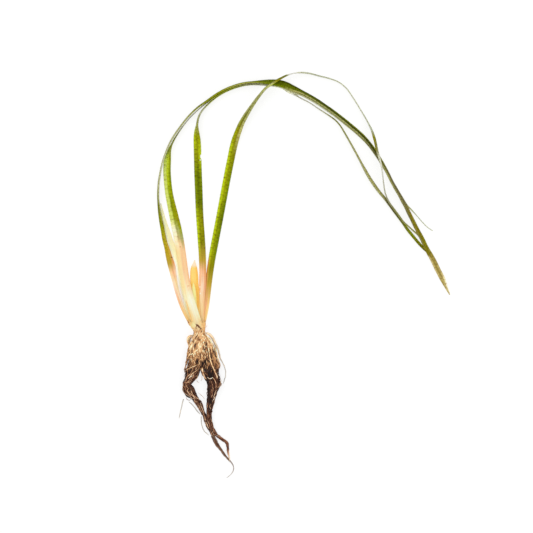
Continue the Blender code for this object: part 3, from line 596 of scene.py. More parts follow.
def root_material(name, stops, greyer_stops=()):
    """Root skin: a tone kept at each point picks its colour, which is greyer down the strands."""
    s = Shading(name)
    at = s.place()
    x, y, z = s.split(at)
    fine = s.noise(s.join(x, y * 0.3, z), 800.0, 3.0, 0.5)
    broad = s.noise(at, 160.0, 3.0)
    value = s.attribute("tone") + (fine - 0.5) * 0.3 + (broad - 0.5) * 0.3
    colour = s.ramp(value, stops)
    if greyer_stops:
        # Lower down the strands the same tones take the greyer colours of the second ramp.
        colour = s.blend(s.step(y, *GREYER, 1.0, 0.0), colour, s.ramp(value, greyer_stops))
    colour = s.times(colour, ROOT_GAIN)
    rough = s.step(broad, 0.3, 0.7, 0.5, 0.7)
    return s.surface(colour, rough, s.bump(fine, 0.6, 0.0002), gloss=ROOT_GLOSS)


def tubes(name, roots, sides, material, nodes):
    """One piece of many round roots. A root is its points, radii and tones."""
    points, faces, tones = [], [], []
    count = 0
    angles = np.arange(sides) * math.tau / sides
    for line, radius, tone in roots:
        ahead = np.gradient(line, axis=0)
        ahead /= np.linalg.norm(ahead, axis=1)[:, None] + 1e-9
        guide = np.where(np.abs(ahead[:, 2:]) > 0.9, (1.0, 0.0, 0.0), (0.0, 0.0, 1.0))
        side = unit(np.cross(ahead, guide))
        rise = np.cross(side, ahead)
        ring = side[:, None] * np.cos(angles)[:, None] + rise[:, None] * np.sin(angles)[:, None]
        faces += ring_faces(len(line), sides, count)
        points.append((line[:, None] + ring * radius[:, None, None]).reshape(-1, 3))
        # The tone is raised on the top of each root and lowered underneath: a painted highlight above
        # and painted shade below.
        tones.append((tone[:, None] + 0.15 * np.sin(angles) - 0.14).ravel())
        count += len(line) * sides
    points = np.concatenate(points)
    points[:, 2] = np.maximum(points[:, 2], LOWEST)
    piece = new_piece(name, points, faces, material, nodes)
    set_attribute(piece, "tone", np.concatenate(tones))


# Places where shade is painted into the root tuft, for its open, dark hollows and gaps: x, y, size along
# x and along y, and depth.
SHADED_PLACES = [
    (-1.9, -23.4, 1.1, 2.2, 0.9), (4.9, -22.4, 2.6, 4.4, 0.55), (3.6, -14.5, 1.5, 4, 0.6),
    (-3.5, -11.4, 1, 1.9, 0.5), (10.2, -12.4, 0.6, 3.2, 0.4), (-0.3, -7.2, 1.2, 1.1, 0.4),
    (0.8, -18.8, 0.8, 1.8, 0.5), (-1.2, -15.6, 0.6, 1.6, 0.35), (-5.6, -16.4, 0.6, 2.4, 0.35),
    (7.4, -32.6, 2.4, 3.6, 0.35), (7.4, -52, 1.6, 9, 0.35), (-8.6, -32.5, 2.2, 4, 0.25),
    (-7.6, -43.5, 1.6, 2.4, 0.3), (5.3, -39, 1.3, 4, 0.3), (3.6, -63.8, 1.6, 1.6, 0.3),
    (7.9, -75.5, 1, 3.4, 0.25), (-1.6, -5.2, 0.9, 1.5, 0.4), (0.8, -3.4, 0.6, 1.2, 0.25),
    (-3.2, -2.6, 0.7, 1.3, 0.25), (2.6, -3.6, 0.7, 1.3, 0.25), (-4.8, -8.2, 0.8, 1.8, 0.3),
    (4, -9.6, 0.8, 2, 0.25), (9.8, -16.4, 0.7, 3, 0.25), (6.4, -17.4, 0.6, 2.6, 0.2),
]
# The outline that the loose roots of the tuft follow: centre x, y, half width and half height.
TUFT = [
    (-0.6, 0.6, 4.3, 3.7), (-0.3, -1.6, 4.1, 3.8), (0, -3, 4.2, 3.8), (0.3, -3.9, 4.7, 3.8),
    (0.7, -6, 6.2, 4.4), (1.2, -9, 7.5, 4.8), (1.2, -12, 8.9, 5),
] + COLLAR[3:]
PARTING, JOINING = -26.5, -66.5  # y where the tuft starts to be two strands and ends to be
HALFWAY = -48.0  # y that both strands run past, between the two


def painted_shade(x, y):
    """How much painted shade darkens the tuft at these points."""
    total = np.zeros_like(x)
    for place_x, place_y, wide, long, depth in SHADED_PLACES:
        total += depth * np.exp(-(((x - place_x) / wide) ** 2) - ((y - place_y) / long) ** 2)
    return total


def section(sections, y):
    """Centre x, half width and half height of a bundle at each y."""
    rows = smooth_rows(sections, 0.4)[::-1]
    return [np.interp(y, rows[:, 1], rows[:, k]) for k in (0, 2, 3)]


def on_tuft(y, angle, depth):
    """Points of the root tuft at each y, angle round it and depth, where 1 is its surface.

    From the neck down the tuft is one body, then two strands, then one again.
    """
    turn = np.cos(angle)
    face = np.where(np.sin(angle) < 0.0, -1.0, 1.0)
    left = turn < 0.0
    own = np.clip(np.where(left, 2.0 * turn + 1.0, 2.0 * turn - 1.0), -1.0, 1.0)
    apart = np.clip((PARTING - y) / 6.0, 0.0, 1.0) * np.clip((y - JOINING) / 6.0, 0.0, 1.0)
    apart = apart**2 * (3.0 - 2.0 * apart)

    def body(first, second, use_first, round_it):
        pairs = zip(section(first, y), section(second, y))
        centre, wide, high = (np.where(use_first, *pair) for pair in pairs)
        x = centre + wide * round_it * depth
        return x, high * (1.04 + np.sqrt(1.0 - round_it**2) * face * depth)

    whole_x, whole_z = body(TUFT, LOWER_STRAND + [(12.2, -81, 2.6, 1.6)], y > HALFWAY, turn)
    part_x, part_z = body(LEFT_STRAND, RIGHT_STRAND, left, own)
    x = whole_x + (part_x - whole_x) * apart
    z = whole_z + (part_z - whole_z) * apart
    return np.stack([x, y, z], axis=1)


def strand_tone(rank, y):
    """Pale and tan near the crown, then dark brown with some paler roots between."""
    upper = 0.36 + 0.52 * rank
    paler = 0.78  # the rank above which a root stays pale
    lower = 0.14 + 0.30 * rank if rank < paler else 0.44 + 0.46 * (rank - paler) / 0.22
    return lower + (upper - lower) * np.clip((y + 35.0) / 18.0, 0.0, 1.0)


def stray(rng, line, run, *waves):
    """Lets a root wander. A wave is the axis that it moves along, its length and its height."""
    for axis, wave, amount in waves:
        line[:, axis] += wander(rng, run, wave, amount)


def taper(run, reach, least, blunt=0.0):
    """A root's radius along its run, as a share that falls towards both ends."""
    return np.clip(np.minimum(run + blunt, run[-1] - run + blunt) / reach, least, 1.0)


def root(line, size, tone):
    """A root of the tuft, lifted clear of the floor and darkened by painted shade in the shaded places.
    """
    tone = tone - painted_shade(line[:, 0], line[:, 1])
    line[:, 2] = np.maximum(line[:, 2], size + LOWEST)
    return line, size, tone


def long_roots(rng, count, span, radius, side):
    """Roots that run down the tuft on one side, in front or behind."""
    made = []
    for _ in range(count):
        first = span[0] - abs(rng.normal(0.0, 2.5))
        if rng.uniform() < 0.5:
            first = rng.uniform(span[1] + 14.0, span[0])
        last = max(span[1], first - rng.uniform(16.0, 60.0))
        y = np.arange(first, last, -0.85)
        if len(y) < 8:
            continue
        run = first - y
        behind = rng.uniform() < 0.25
        start = rng.uniform(0.03, 0.97)
        turn = start + wander(rng, run, 22.0, 0.07) + rng.normal(0.0, 0.0025) * run
        turn = np.clip(np.abs(turn), 0.02, 1.98)
        turn = np.clip(np.where(turn > 1.0, 2.0 - turn, turn), 0.02, 0.995)
        angle = np.arccos(side * turn)
        angle = -angle if behind else angle
        depth = rng.uniform(0.93, 1.0) + wander(rng, run, 9.0, 0.035)
        line = on_tuft(y, angle, depth)
        stray(rng, line, run, (0, 6.0, 0.25), (1, 5.0, 0.25), (2, 5.0, 0.18))
        rank = rng.uniform()
        size = rng.uniform(*radius) * (1.0 + wander(rng, run, 9.0, 0.16))
        size = size * np.clip(1.25 + y / 60.0, 0.62, 1.1) * taper(run, 2.5, 0.3)
        made.append(root(line, size, strand_tone(rank, y) + wander(rng, run, 9.0, 0.06)))
    return made


def crown_roots(rng, count):
    """Tan roots that leave the neck and spread over the top of the tuft."""
    made = []
    for _ in range(count):
        first = rng.uniform(-6.0, 0.5)
        y = np.arange(first, first - rng.uniform(11.0, 30.0), -0.5)
        run = first - y
        start = rng.uniform(-0.97, 0.97)
        turn = start * (1.0 + 0.006 * run) + wander(rng, run, 14.0, 0.10)
        angle = np.arccos(np.clip(turn, -0.995, 0.995)) * (-1.0 if rng.uniform() < 0.22 else 1.0)
        line = on_tuft(y, angle, 1.0 + 0.04 * rng.uniform(0.0, 1.0) + wander(rng, run, 6.0, 0.035))
        stray(rng, line, run, (0, 6.0, 0.16), (1, 6.0, 0.2), (2, 6.0, 0.2))
        size = rng.uniform(0.34, 0.66) * (1.0 + wander(rng, run, 6.0, 0.2)) * taper(run, 2.0, 0.35, 0.2)
        line, size, tone = root(line, size, rng.uniform(0.60, 1.02) + wander(rng, run, 7.0, 0.10))
        made.append((line, size, tone - 0.16 * np.clip((-20.0 - y) / 8.0, 0.0, 1.0)))
    return made


def stray_roots(rng, count, span, side):
    """Short fibres that cross over the others."""
    made = []
    for _ in range(count):
        middle = rng.uniform(span[1], span[0])
        length = rng.uniform(4.0, 11.0)
        top, foot = min(middle + length / 2.0, -1.0), max(middle - length / 2.0, -79.0)
        y = np.linspace(top, foot, max(9, int(length / 0.6)))
        run = y[0] - y
        turn = rng.uniform(0.05, 0.95) + rng.normal(0.0, 0.5) * (run / length - 0.5) * 0.6
        turn = turn + wander(rng, run, 7.0, 0.06)
        angle = np.arccos(side * np.clip(turn, 0.02, 0.995))
        line = on_tuft(y, angle, 1.03 + 0.05 * np.sin(np.linspace(0.0, math.pi, len(y))))
        stray(rng, line, run, (0, 4.0, 0.3), (2, 4.0, 0.15))
        size = rng.uniform(0.14, 0.28) * taper(run, 1.5, 0.4)
        tone = strand_tone(rng.uniform(0.45, 1.0), y) + 0.08
        # These fibres also take the painted shade of the shaded places, a little weaker.
        made.append((line, size, tone - 0.7 * painted_shade(line[:, 0], line[:, 1])))
    return made


def surface_height(x, y):
    """The top of the root mass at these points, or the floor beside it."""
    stem = np.array(CROWN).T
    centre, level, wide, high = (np.interp(y, stem[0], row) for row in stem[1:])
    inside = np.clip(1.0 - ((x - centre) / wide) ** 2, 0.0, 1.0)
    height = np.where((y > -5.6) & (y < 5.0) & (inside > 0.0), level + high * np.sqrt(inside), 0.0)
    for sections, top, foot in (
        (TUFT, 0.6, -31.0), (LEFT_STRAND, -29.0, -64.0), (RIGHT_STRAND, -29.0, -64.0),
        (LOWER_STRAND, -63.0, -78.5),
    ):
        centre, wide, high = section(sections, y)
        inside = np.clip(1.0 - ((x - centre) / wide) ** 2, 0.0, 1.0)
        here = np.where((y < top) & (y > foot) & (inside > 0.0), high * (1.04 + np.sqrt(inside)), 0.0)
        height = np.maximum(height, here)
    return height


# Roots that stand out on the tuft. Each is its points as x and y, its radius and its tone.
MARKED_ROOTS = [
    ([(3.4, -4.8), (5, -7.6), (6.6, -11), (6.6, -15), (7.4, -20), (8.6, -25)], 0.45, 0.9),
    ([(7.2, -21.4), (9, -26), (11.2, -31), (13.4, -36.4)], 0.5, 0.98),
    ([(3.8, -7.6), (1.6, -11), (-0.7, -13.7), (-4, -16.4), (-7.3, -19)], 0.4, 0.96),
    ([(9.6, -35.6), (11, -37.2), (12, -40.4), (12, -44)], 0.38, 0.9),
    ([(5.3, -35.2), (7.4, -36.4), (9.8, -35.4)], 0.28, 0.98),
    ([(7.6, -23.2), (6.2, -26), (5.4, -29.4)], 0.34, 0.82),
    ([(-12, -39.4), (-9.8, -39.2), (-7.5, -38.8)], 0.38, 0.88),
    ([(-10.6, -36.2), (-8.6, -34.2), (-6.2, -32.3)], 0.32, 0.9),
    ([(-7.6, -35), (-6.2, -33.4), (-4.6, -31.6)], 0.36, 1.02),
    ([(-8.8, -36.6), (-7, -34.8), (-5, -34)], 0.3, 0.92),
    ([(-7.2, -44.2), (-6, -47), (-4.6, -49.4), (-1.8, -51.2), (-0.2, -52.6)], 0.34, 0.94),
    ([(0.2, -52.4), (1.8, -55.8), (2.8, -60)], 0.32, 0.7),
    ([(6.8, -67.6), (7.3, -71), (8, -75)], 0.42, 0.66),
    ([(9.6, -70.6), (10, -73.6), (10.6, -77)], 0.36, 0.8),
    ([(-1.6, -1), (-2.6, -3.6), (-4.8, -5.6), (-6, -9.4), (-6.2, -13.8)], 0.5, 0.92),
    ([(-0.8, -2.2), (-1.4, -4.8), (-3.2, -7.4), (-4.6, -11.6), (-5, -16)], 0.46, 0.84),
    ([(-2.6, -1.6), (-4.4, -3.6), (-7, -4.6), (-8.2, -7.6), (-7.9, -11)], 0.6, 0.98),
    ([(-3, -4.6), (-5.4, -5), (-7.2, -6.6), (-7.4, -9.4)], 0.42, 0.8),
    ([(2.6, -2.6), (5.4, -4.6), (8, -8.6), (10, -13.2), (10.9, -17.6)], 0.44, 1),
    ([(2.4, -3.4), (4.4, -6.4), (5.8, -10), (6, -13.6)], 0.4, 0.88),
    ([(3.2, -1.6), (6.2, -3.2), (9.4, -7.4), (11.6, -12.6), (12.6, -17.4)], 0.42, 0.96),
    ([(2, -0.4), (1.8, -3.2), (3.2, -6), (3.6, -9)], 0.42, 0.9),
    ([(0.8, 0.6), (0.2, -2), (0.8, -4.6), (-0.4, -7)], 0.42, 0.86),
    ([(-1.2, 0.8), (-0.4, -1.6), (-1, -3.8)], 0.36, 0.96),
    ([(-3.4, 0.6), (-3.2, -1.6), (-3.8, -3.6)], 0.36, 0.84),
    ([(1.2, -6.2), (2.2, -8.8), (0.2, -11.6), (-1.4, -14.4), (-1.6, -18.6)], 0.36, 0.88),
    ([(0.4, -12), (0, -15), (1.2, -18), (0.8, -22)], 0.3, 0.84),
    ([(-2, -13.4), (-3.2, -15), (-3, -17.4)], 0.28, 0.94),
    ([(2.6, -16.4), (3.8, -18.2), (3, -20.4), (4, -22)], 0.26, 0.72),
    ([(2, -21), (3.6, -22.2), (5.4, -21.6)], 0.22, 0.66),
    ([(2.4, -9.6), (3.6, -12.6), (3, -15), (4.2, -18.6), (3.8, -22.6)], 0.36, 0.9),
    ([(4.8, -10.4), (4.6, -14), (5.6, -18), (5, -22.4), (5.8, -26)], 0.32, 0.88),
    ([(1.6, -13.6), (2.4, -16.8), (1.6, -20.6), (2.6, -24)], 0.34, 0.84),
    ([(-1.2, -16.8), (-2.8, -20.4), (-3.4, -25.6)], 0.32, 0.84),
    ([(6.8, -21.6), (9, -21.8), (12.6, -21.2), (14.4, -22.6)], 0.22, 0.9),
    ([(11.4, -20), (13, -23), (14.2, -27), (13.8, -31)], 0.34, 0.56),
    ([(-9.2, -22), (-10.4, -26), (-11.6, -29)], 0.32, 0.9),
    ([(-3.4, -17), (-4.4, -21), (-6, -25.6), (-7.6, -28.4)], 0.32, 0.8),
    ([(1.6, -27.6), (2.2, -31.6), (3.4, -35), (4.8, -37)], 0.6, 0.94),
    ([(0.8, -28.6), (1.2, -32), (2.2, -34.8)], 0.4, 0.82),
    ([(-2.6, -37.4), (-1.8, -39), (-0.4, -39.8)], 0.14, 0.7),
    ([(0.8, -34.4), (1.5, -36.8), (0.4, -38.6)], 0.14, 0.8),
    ([(-10.6, -50.2), (-9.8, -52), (-8, -52.8), (-6.8, -52)], 0.18, 0.55),
    ([(-1.5, -47.2), (0.8, -48.8), (3.4, -51.8)], 0.14, 0.85),
    ([(-11.8, -41.4), (-10.8, -44.4), (-9.4, -46.6)], 0.34, 0.74),
    ([(-9.4, -45.2), (-8.2, -47.4), (-7, -49.6)], 0.3, 0.8),
    ([(8.8, -44), (9.2, -47.6), (8.6, -51)], 0.26, 0.62),
    ([(3.6, 1.2), (4.7, 2.4), (5.4, 3.4)], 0.18, 0.85),
    ([(21.8, -85.6), (19.4, -85.2), (18.4, -84.2)], 0.5, 0.7),
]


def marked_roots(rng):
    """The roots of MARKED_ROOTS, laid on the root mass."""
    made = []
    step = 0.5
    for places, radius, tone in MARKED_ROOTS:
        x, y, size = smooth_rows([(*place, radius) for place in places], step).T
        run = np.arange(len(x)) * step
        x = x + wander(rng, run, 5.0, 0.12)
        y = y + wander(rng, run, 6.0, 0.12)
        height = surface_height(x, y)
        soft = np.convolve(np.pad(height, 3, mode="edge"), np.ones(7) / 7.0, mode="valid")
        height = np.maximum(height, soft)
        size = size * taper(run, 1.6, 0.35, 0.3)
        size = size * (1.0 + wander(rng, run, 4.0, 0.12))
        line = np.stack([x, y, height + size * 0.75 + 0.03], axis=1)
        line[:, 2] = np.maximum(line[:, 2], size + 0.05)
        fall = 0.16 * np.clip((-16.0 - y) / 12.0, 0.0, 1.0) * (radius > 0.3)
        made.append((line, size, tone - fall + wander(rng, run, 5.0, 0.14)))
    return made


def make_core(name, sections, material, node, scale):
    """The dark inner mass that shows between the roots of a bundle: partly the roots' own dark brown,
    partly painted shade for the deep gaps between them.
    """
    rng = np.random.default_rng(5)
    sides = 48
    rows = smooth_rows(sections, 0.7)
    angles = np.arange(sides) * math.tau / sides
    phase = rng.uniform(0.0, math.tau, 2)
    ahead = unit(np.gradient(rows[:, :2], axis=0))
    rings = []
    for i, (x, y, wide, high) in enumerate(rows):
        swell = scale + 0.03 * np.sin(5 * angles + phase[0] + i * 0.35)
        swell += 0.03 * np.sin(11 * angles + phase[1] - i * 0.6)
        out = wide * swell * np.cos(angles)
        up = high * 1.04 + high * swell * np.sin(angles)
        rings.append(np.stack([x + ahead[i, 1] * out, y - ahead[i, 0] * out, up], axis=1))
    points = np.concatenate(rings)
    piece = new_piece(name, points, ring_faces(len(rows), sides, 0, True), material, [node])
    # The tone is lighter towards the crown, and painted shade darkens it further at the shaded places.
    share = np.clip((points[:, 1] + 28.0) / 16.0, 0.0, 1.0)
    set_attribute(piece, "tone", 0.10 + 0.26 * share - 0.4 * painted_shade(points[:, 0], points[:, 1]))


THIN_END = (0.8, 0.55, 0.25)  # the last radii of a root, as shares


def root_rows(rows):
    """The smooth course of a single root, and the length along it."""
    step = 0.6
    x, y, radius, low = smooth_rows([(*row, USUAL_LIFT)[:4] for row in rows], step).T
    return x, y, radius, low, np.arange(len(x)) * step


def single(rows, rng, tone, swell=1.0, last=None):
    """One root along rows of x, y, radius and lift, from its first tone to its last."""
    x, y, radius, low, run = root_rows(rows)
    line = np.stack([x, y, np.maximum(low, 0.08) + radius], axis=1)
    stray(rng, line, run, (0, 5.0, 0.12), (1, 6.0, 0.12))
    size = radius * swell * (1.0 + wander(rng, run, 4.0, 0.10))
    size[-3:] *= THIN_END
    return line, size, np.linspace(tone, last or tone, len(x)) + wander(rng, run, 6.0, 0.10)


def braid(rows, rng, count, tone, last):
    """Several fine roots that wind round each other along rows of x, y, radius and lift."""
    x, y, radius, low, run = root_rows(rows)
    spread = radius * 0.62
    ahead = unit(np.gradient(np.stack([x, y], axis=1), axis=0))
    made = []
    for k in range(count):
        turn = math.tau * k / count + run * rng.uniform(0.08, 0.2) + wander(rng, run, 12.0, 0.7)
        out = spread * np.cos(turn)
        up = spread * np.sin(turn)
        line = np.stack([x + ahead[:, 1] * out, y - ahead[:, 0] * out, low + radius + up], axis=1)
        stray(rng, line, run, (0, 4.0, 0.08))
        thick = np.maximum(radius * 0.5 * rng.uniform(0.7, 1.1), 0.12)
        thick = thick * (1.0 + wander(rng, run, 3.0, 0.12))
        thick[-3:] *= THIN_END
        paler = (last - tone) * np.clip(run / run[-1] * 2.2 - 1.2, 0.0, 1.0)
        made.append((line, thick, tone + paler + rng.normal(0.0, 0.12) + wander(rng, run, 7.0, 0.1)))
    return made


# Tissue colours, as a display shows them.
CREAM = (254, 243, 214)
IVORY = (253, 249, 230)
VANILLA = (252, 234, 202)
SNOW = (254, 252, 240)
SHELL = (253, 226, 174)
HONEY = (252, 218, 150)
PEACH = (251, 204, 160)
ROSE = (240, 188, 146)
AMBER = (234, 176, 112)
RUST = (196, 126, 62)
LEMON = (254, 250, 176)
YOLK = (254, 218, 134)
APRICOT = (252, 200, 104)
BLUSH = (252, 228, 204)
BISQUE = (244, 214, 170)
MUSTARD = (200, 172, 62)
OCHRE = (196, 172, 28)
OLIVE = (150, 145, 6)
MOSS = (136, 134, 2)
LIME = (204, 218, 62)
FROST = (206, 214, 112)
MIST = (206, 211, 192)
BRIGHT = (184, 198, 18)
SPRING = (166, 182, 8)
GRASS = (154, 160, 4)
LEAF = (128, 142, 1)
DEEP = (104, 117, 0)
DARK = (80, 88, 2)
DARKEST = (62, 66, 3)
FERN = (118, 122, 24)
SAGE = (174, 176, 108)
STRAW = (196, 196, 150)
PALE = (212, 215, 188)
FAINT = (228, 230, 208)
CHALK = (246, 247, 238)
KHAKI = (142, 138, 88)
TAUPE = (120, 114, 68)
BRONZE = (134, 125, 14)
REED = (138, 142, 102)
GOLD = (160, 142, 70)
SAND = (196, 181, 120)
WHEAT = (190, 186, 112)
SPROUT = (216, 230, 124)
ASH = (184, 190, 160)
BROWN = (92, 50, 16)

# From 106 to 165, where the blade stands on edge, the paler straw colours are painted light: light
# through the thin blade and sheen off it.
OUTER_COLOURS = [
    (0, HONEY, HONEY, SHELL), (10, HONEY, SHELL), (22, PEACH, BLUSH, PEACH), (34, BLUSH, SHELL, BLUSH),
    (42, SHELL, PEACH, BLUSH), (49, MUSTARD, MUSTARD, AMBER), (60, OCHRE, OCHRE, MUSTARD),
    (78, GRASS, GRASS, OLIVE), (94, FERN, FERN, SAGE), (106, KHAKI, SAGE, STRAW),
    (124, STRAW, STRAW, PALE), (165, REED, SAGE), (178, FERN, FERN, GRASS), (196, DEEP, GRASS),
    (214, DEEP, GRASS, WHEAT), (232, DEEP, DEEP, LEAF), (246, DARK, DEEP, LEAF),
    (256, DARK, DEEP, WHEAT), (280, DARK, DARK, SAGE), (300, LEAF, DARKEST, SAGE),
    (316, GRASS, DARKEST, SAGE), (332, GRASS, DARK, KHAKI), (352, TAUPE, TAUPE, SAGE),
    (376, TAUPE, TAUPE, KHAKI), (388, GOLD, BRONZE, TAUPE), (400, BRONZE, BRONZE, GOLD),
    (414, OLIVE, BRONZE, GOLD), (424, GOLD, GOLD, SAND), (436, SAND, GOLD, SAND),
    (444, CREAM, SAND, GOLD), (448, CREAM, SAND), (453, SAND),
]
# From 112 to 178 the colours are painted light: the left side is lightened against the shade that the
# outer leaf casts on it, then near white where the blade stands on edge beside it.
INNER_COLOURS = [
    (0, SHELL, SHELL, HONEY), (8, SHELL, CREAM), (18, CREAM, IVORY, CREAM),
    (30, SHELL, VANILLA, BISQUE), (44, SHELL, BISQUE), (57, SHELL, BISQUE), (62, VANILLA, BISQUE, SAND),
    (67, VANILLA, SAND, SAGE), (73, CREAM, SAGE, GRASS), (82, FROST, GRASS, OLIVE),
    (96, FROST, LEAF, GRASS), (112, FROST, BRIGHT, LEAF), (128, SPROUT, LIME, GRASS),
    (142, SPROUT, FROST, SAGE), (150, FAINT, FAINT, PALE), (160, CHALK), (178, CHALK, CHALK, FAINT),
    (188, FROST, LIME), (202, FROST, LIME), (213, STRAW, SAGE, STRAW), (224, LEAF, SAGE, PALE),
    (240, DEEP, SAGE, STRAW), (256, SAGE, SAGE, STRAW), (276, SAGE, SAGE, PALE),
    (300, KHAKI, SAGE, STRAW), (324, TAUPE, KHAKI, STRAW), (345, TAUPE, KHAKI, STRAW),
    (368, SAGE, KHAKI), (377, ASH, SAGE), (386, MIST, ASH, MIST), (400, PALE),
]
# From 152 to 266, where the blade stands on edge under the arch, the pale right side and the near white
# from 240 on are painted light.
MIDDLE_COLOURS = [
    (0, HONEY, SHELL), (14, SHELL), (28, PEACH, BLUSH, ROSE), (40, PEACH, PEACH, AMBER), (48, MUSTARD),
    (62, BRIGHT, MOSS), (80, BRIGHT, GRASS, MOSS), (92, LEAF, DEEP), (112, LEAF, DEEP, LEAF),
    (128, GRASS, GRASS, BRIGHT), (142, BRIGHT, GRASS), (152, SAGE), (161, PALE), (172, STRAW, FROST),
    (190, STRAW, FROST, SPROUT), (208, SAGE, FROST, PALE), (224, FERN, SAGE, PALE), (232, SAGE, PALE),
    (240, CHALK), (258, CHALK), (266, FAINT), (271, STRAW), (278, SAGE), (286, SAGE),
    (296, STRAW, SAGE, STRAW), (306, STRAW, WHEAT, STRAW), (320, STRAW, WHEAT, STRAW),
    (340, WHEAT, WHEAT, STRAW), (354, KHAKI), (366, OLIVE, GRASS, SAGE), (380, SPRING, SPRING, GRASS),
    (396, OLIVE, OLIVE, BRONZE),
]
# From 207 to 290 and from 313 to 326, where the blade stands on edge, the near white and pale greys are
# painted light.
RIGHT_COLOURS = [
    (0, AMBER, HONEY), (14, AMBER, PEACH, HONEY), (30, AMBER, MUSTARD), (44, OCHRE, OLIVE),
    (54, BRIGHT, GRASS, LEAF), (82, BRIGHT, LEAF, DEEP), (100, BRIGHT, GRASS, LEAF),
    (112, BRIGHT, GRASS, LEAF), (130, BRIGHT, GRASS, MOSS), (148, GRASS, OLIVE, WHEAT),
    (160, SAGE, FERN, SAGE), (178, STRAW, SAGE), (187, SAGE, FROST, STRAW), (192, FERN, STRAW, FROST),
    (196, FERN, OLIVE), (205, FERN), (207, CHALK), (211, CHALK), (216, PALE), (228, ASH),
    (248, MIST, PALE), (270, MIST, PALE), (290, ASH, ASH, MIST), (296, FERN, OLIVE),
    (306, SAGE, KHAKI, BRONZE), (313, FAINT), (326, CHALK), (352, STRAW, SAGE, KHAKI),
    (370, STRAW, SAGE), (382, BRONZE, BRONZE, KHAKI), (395, BRONZE),
]
SHEATH_COLOURS = [
    (0, HONEY), (20, SNOW, CREAM, SHELL), (40, SNOW, CREAM, VANILLA), (64, CREAM, VANILLA),
    (80, CREAM, CREAM, VANILLA), (95, CREAM, CREAM, VANILLA),
]
YOUNG_COLOURS = [
    (0, LEMON, YOLK, HONEY), (14, YOLK, YOLK, APRICOT), (26, YOLK, YOLK, APRICOT),
    (36, YOLK, YOLK, APRICOT), (38, BLUSH), (42, BLUSH),
]
BUD_COLOURS = [
    (0, YOLK), (10, LEMON, LEMON, YOLK), (24, LEMON),
]
NEVER = (300, 400)  # places past the end of a short leaf


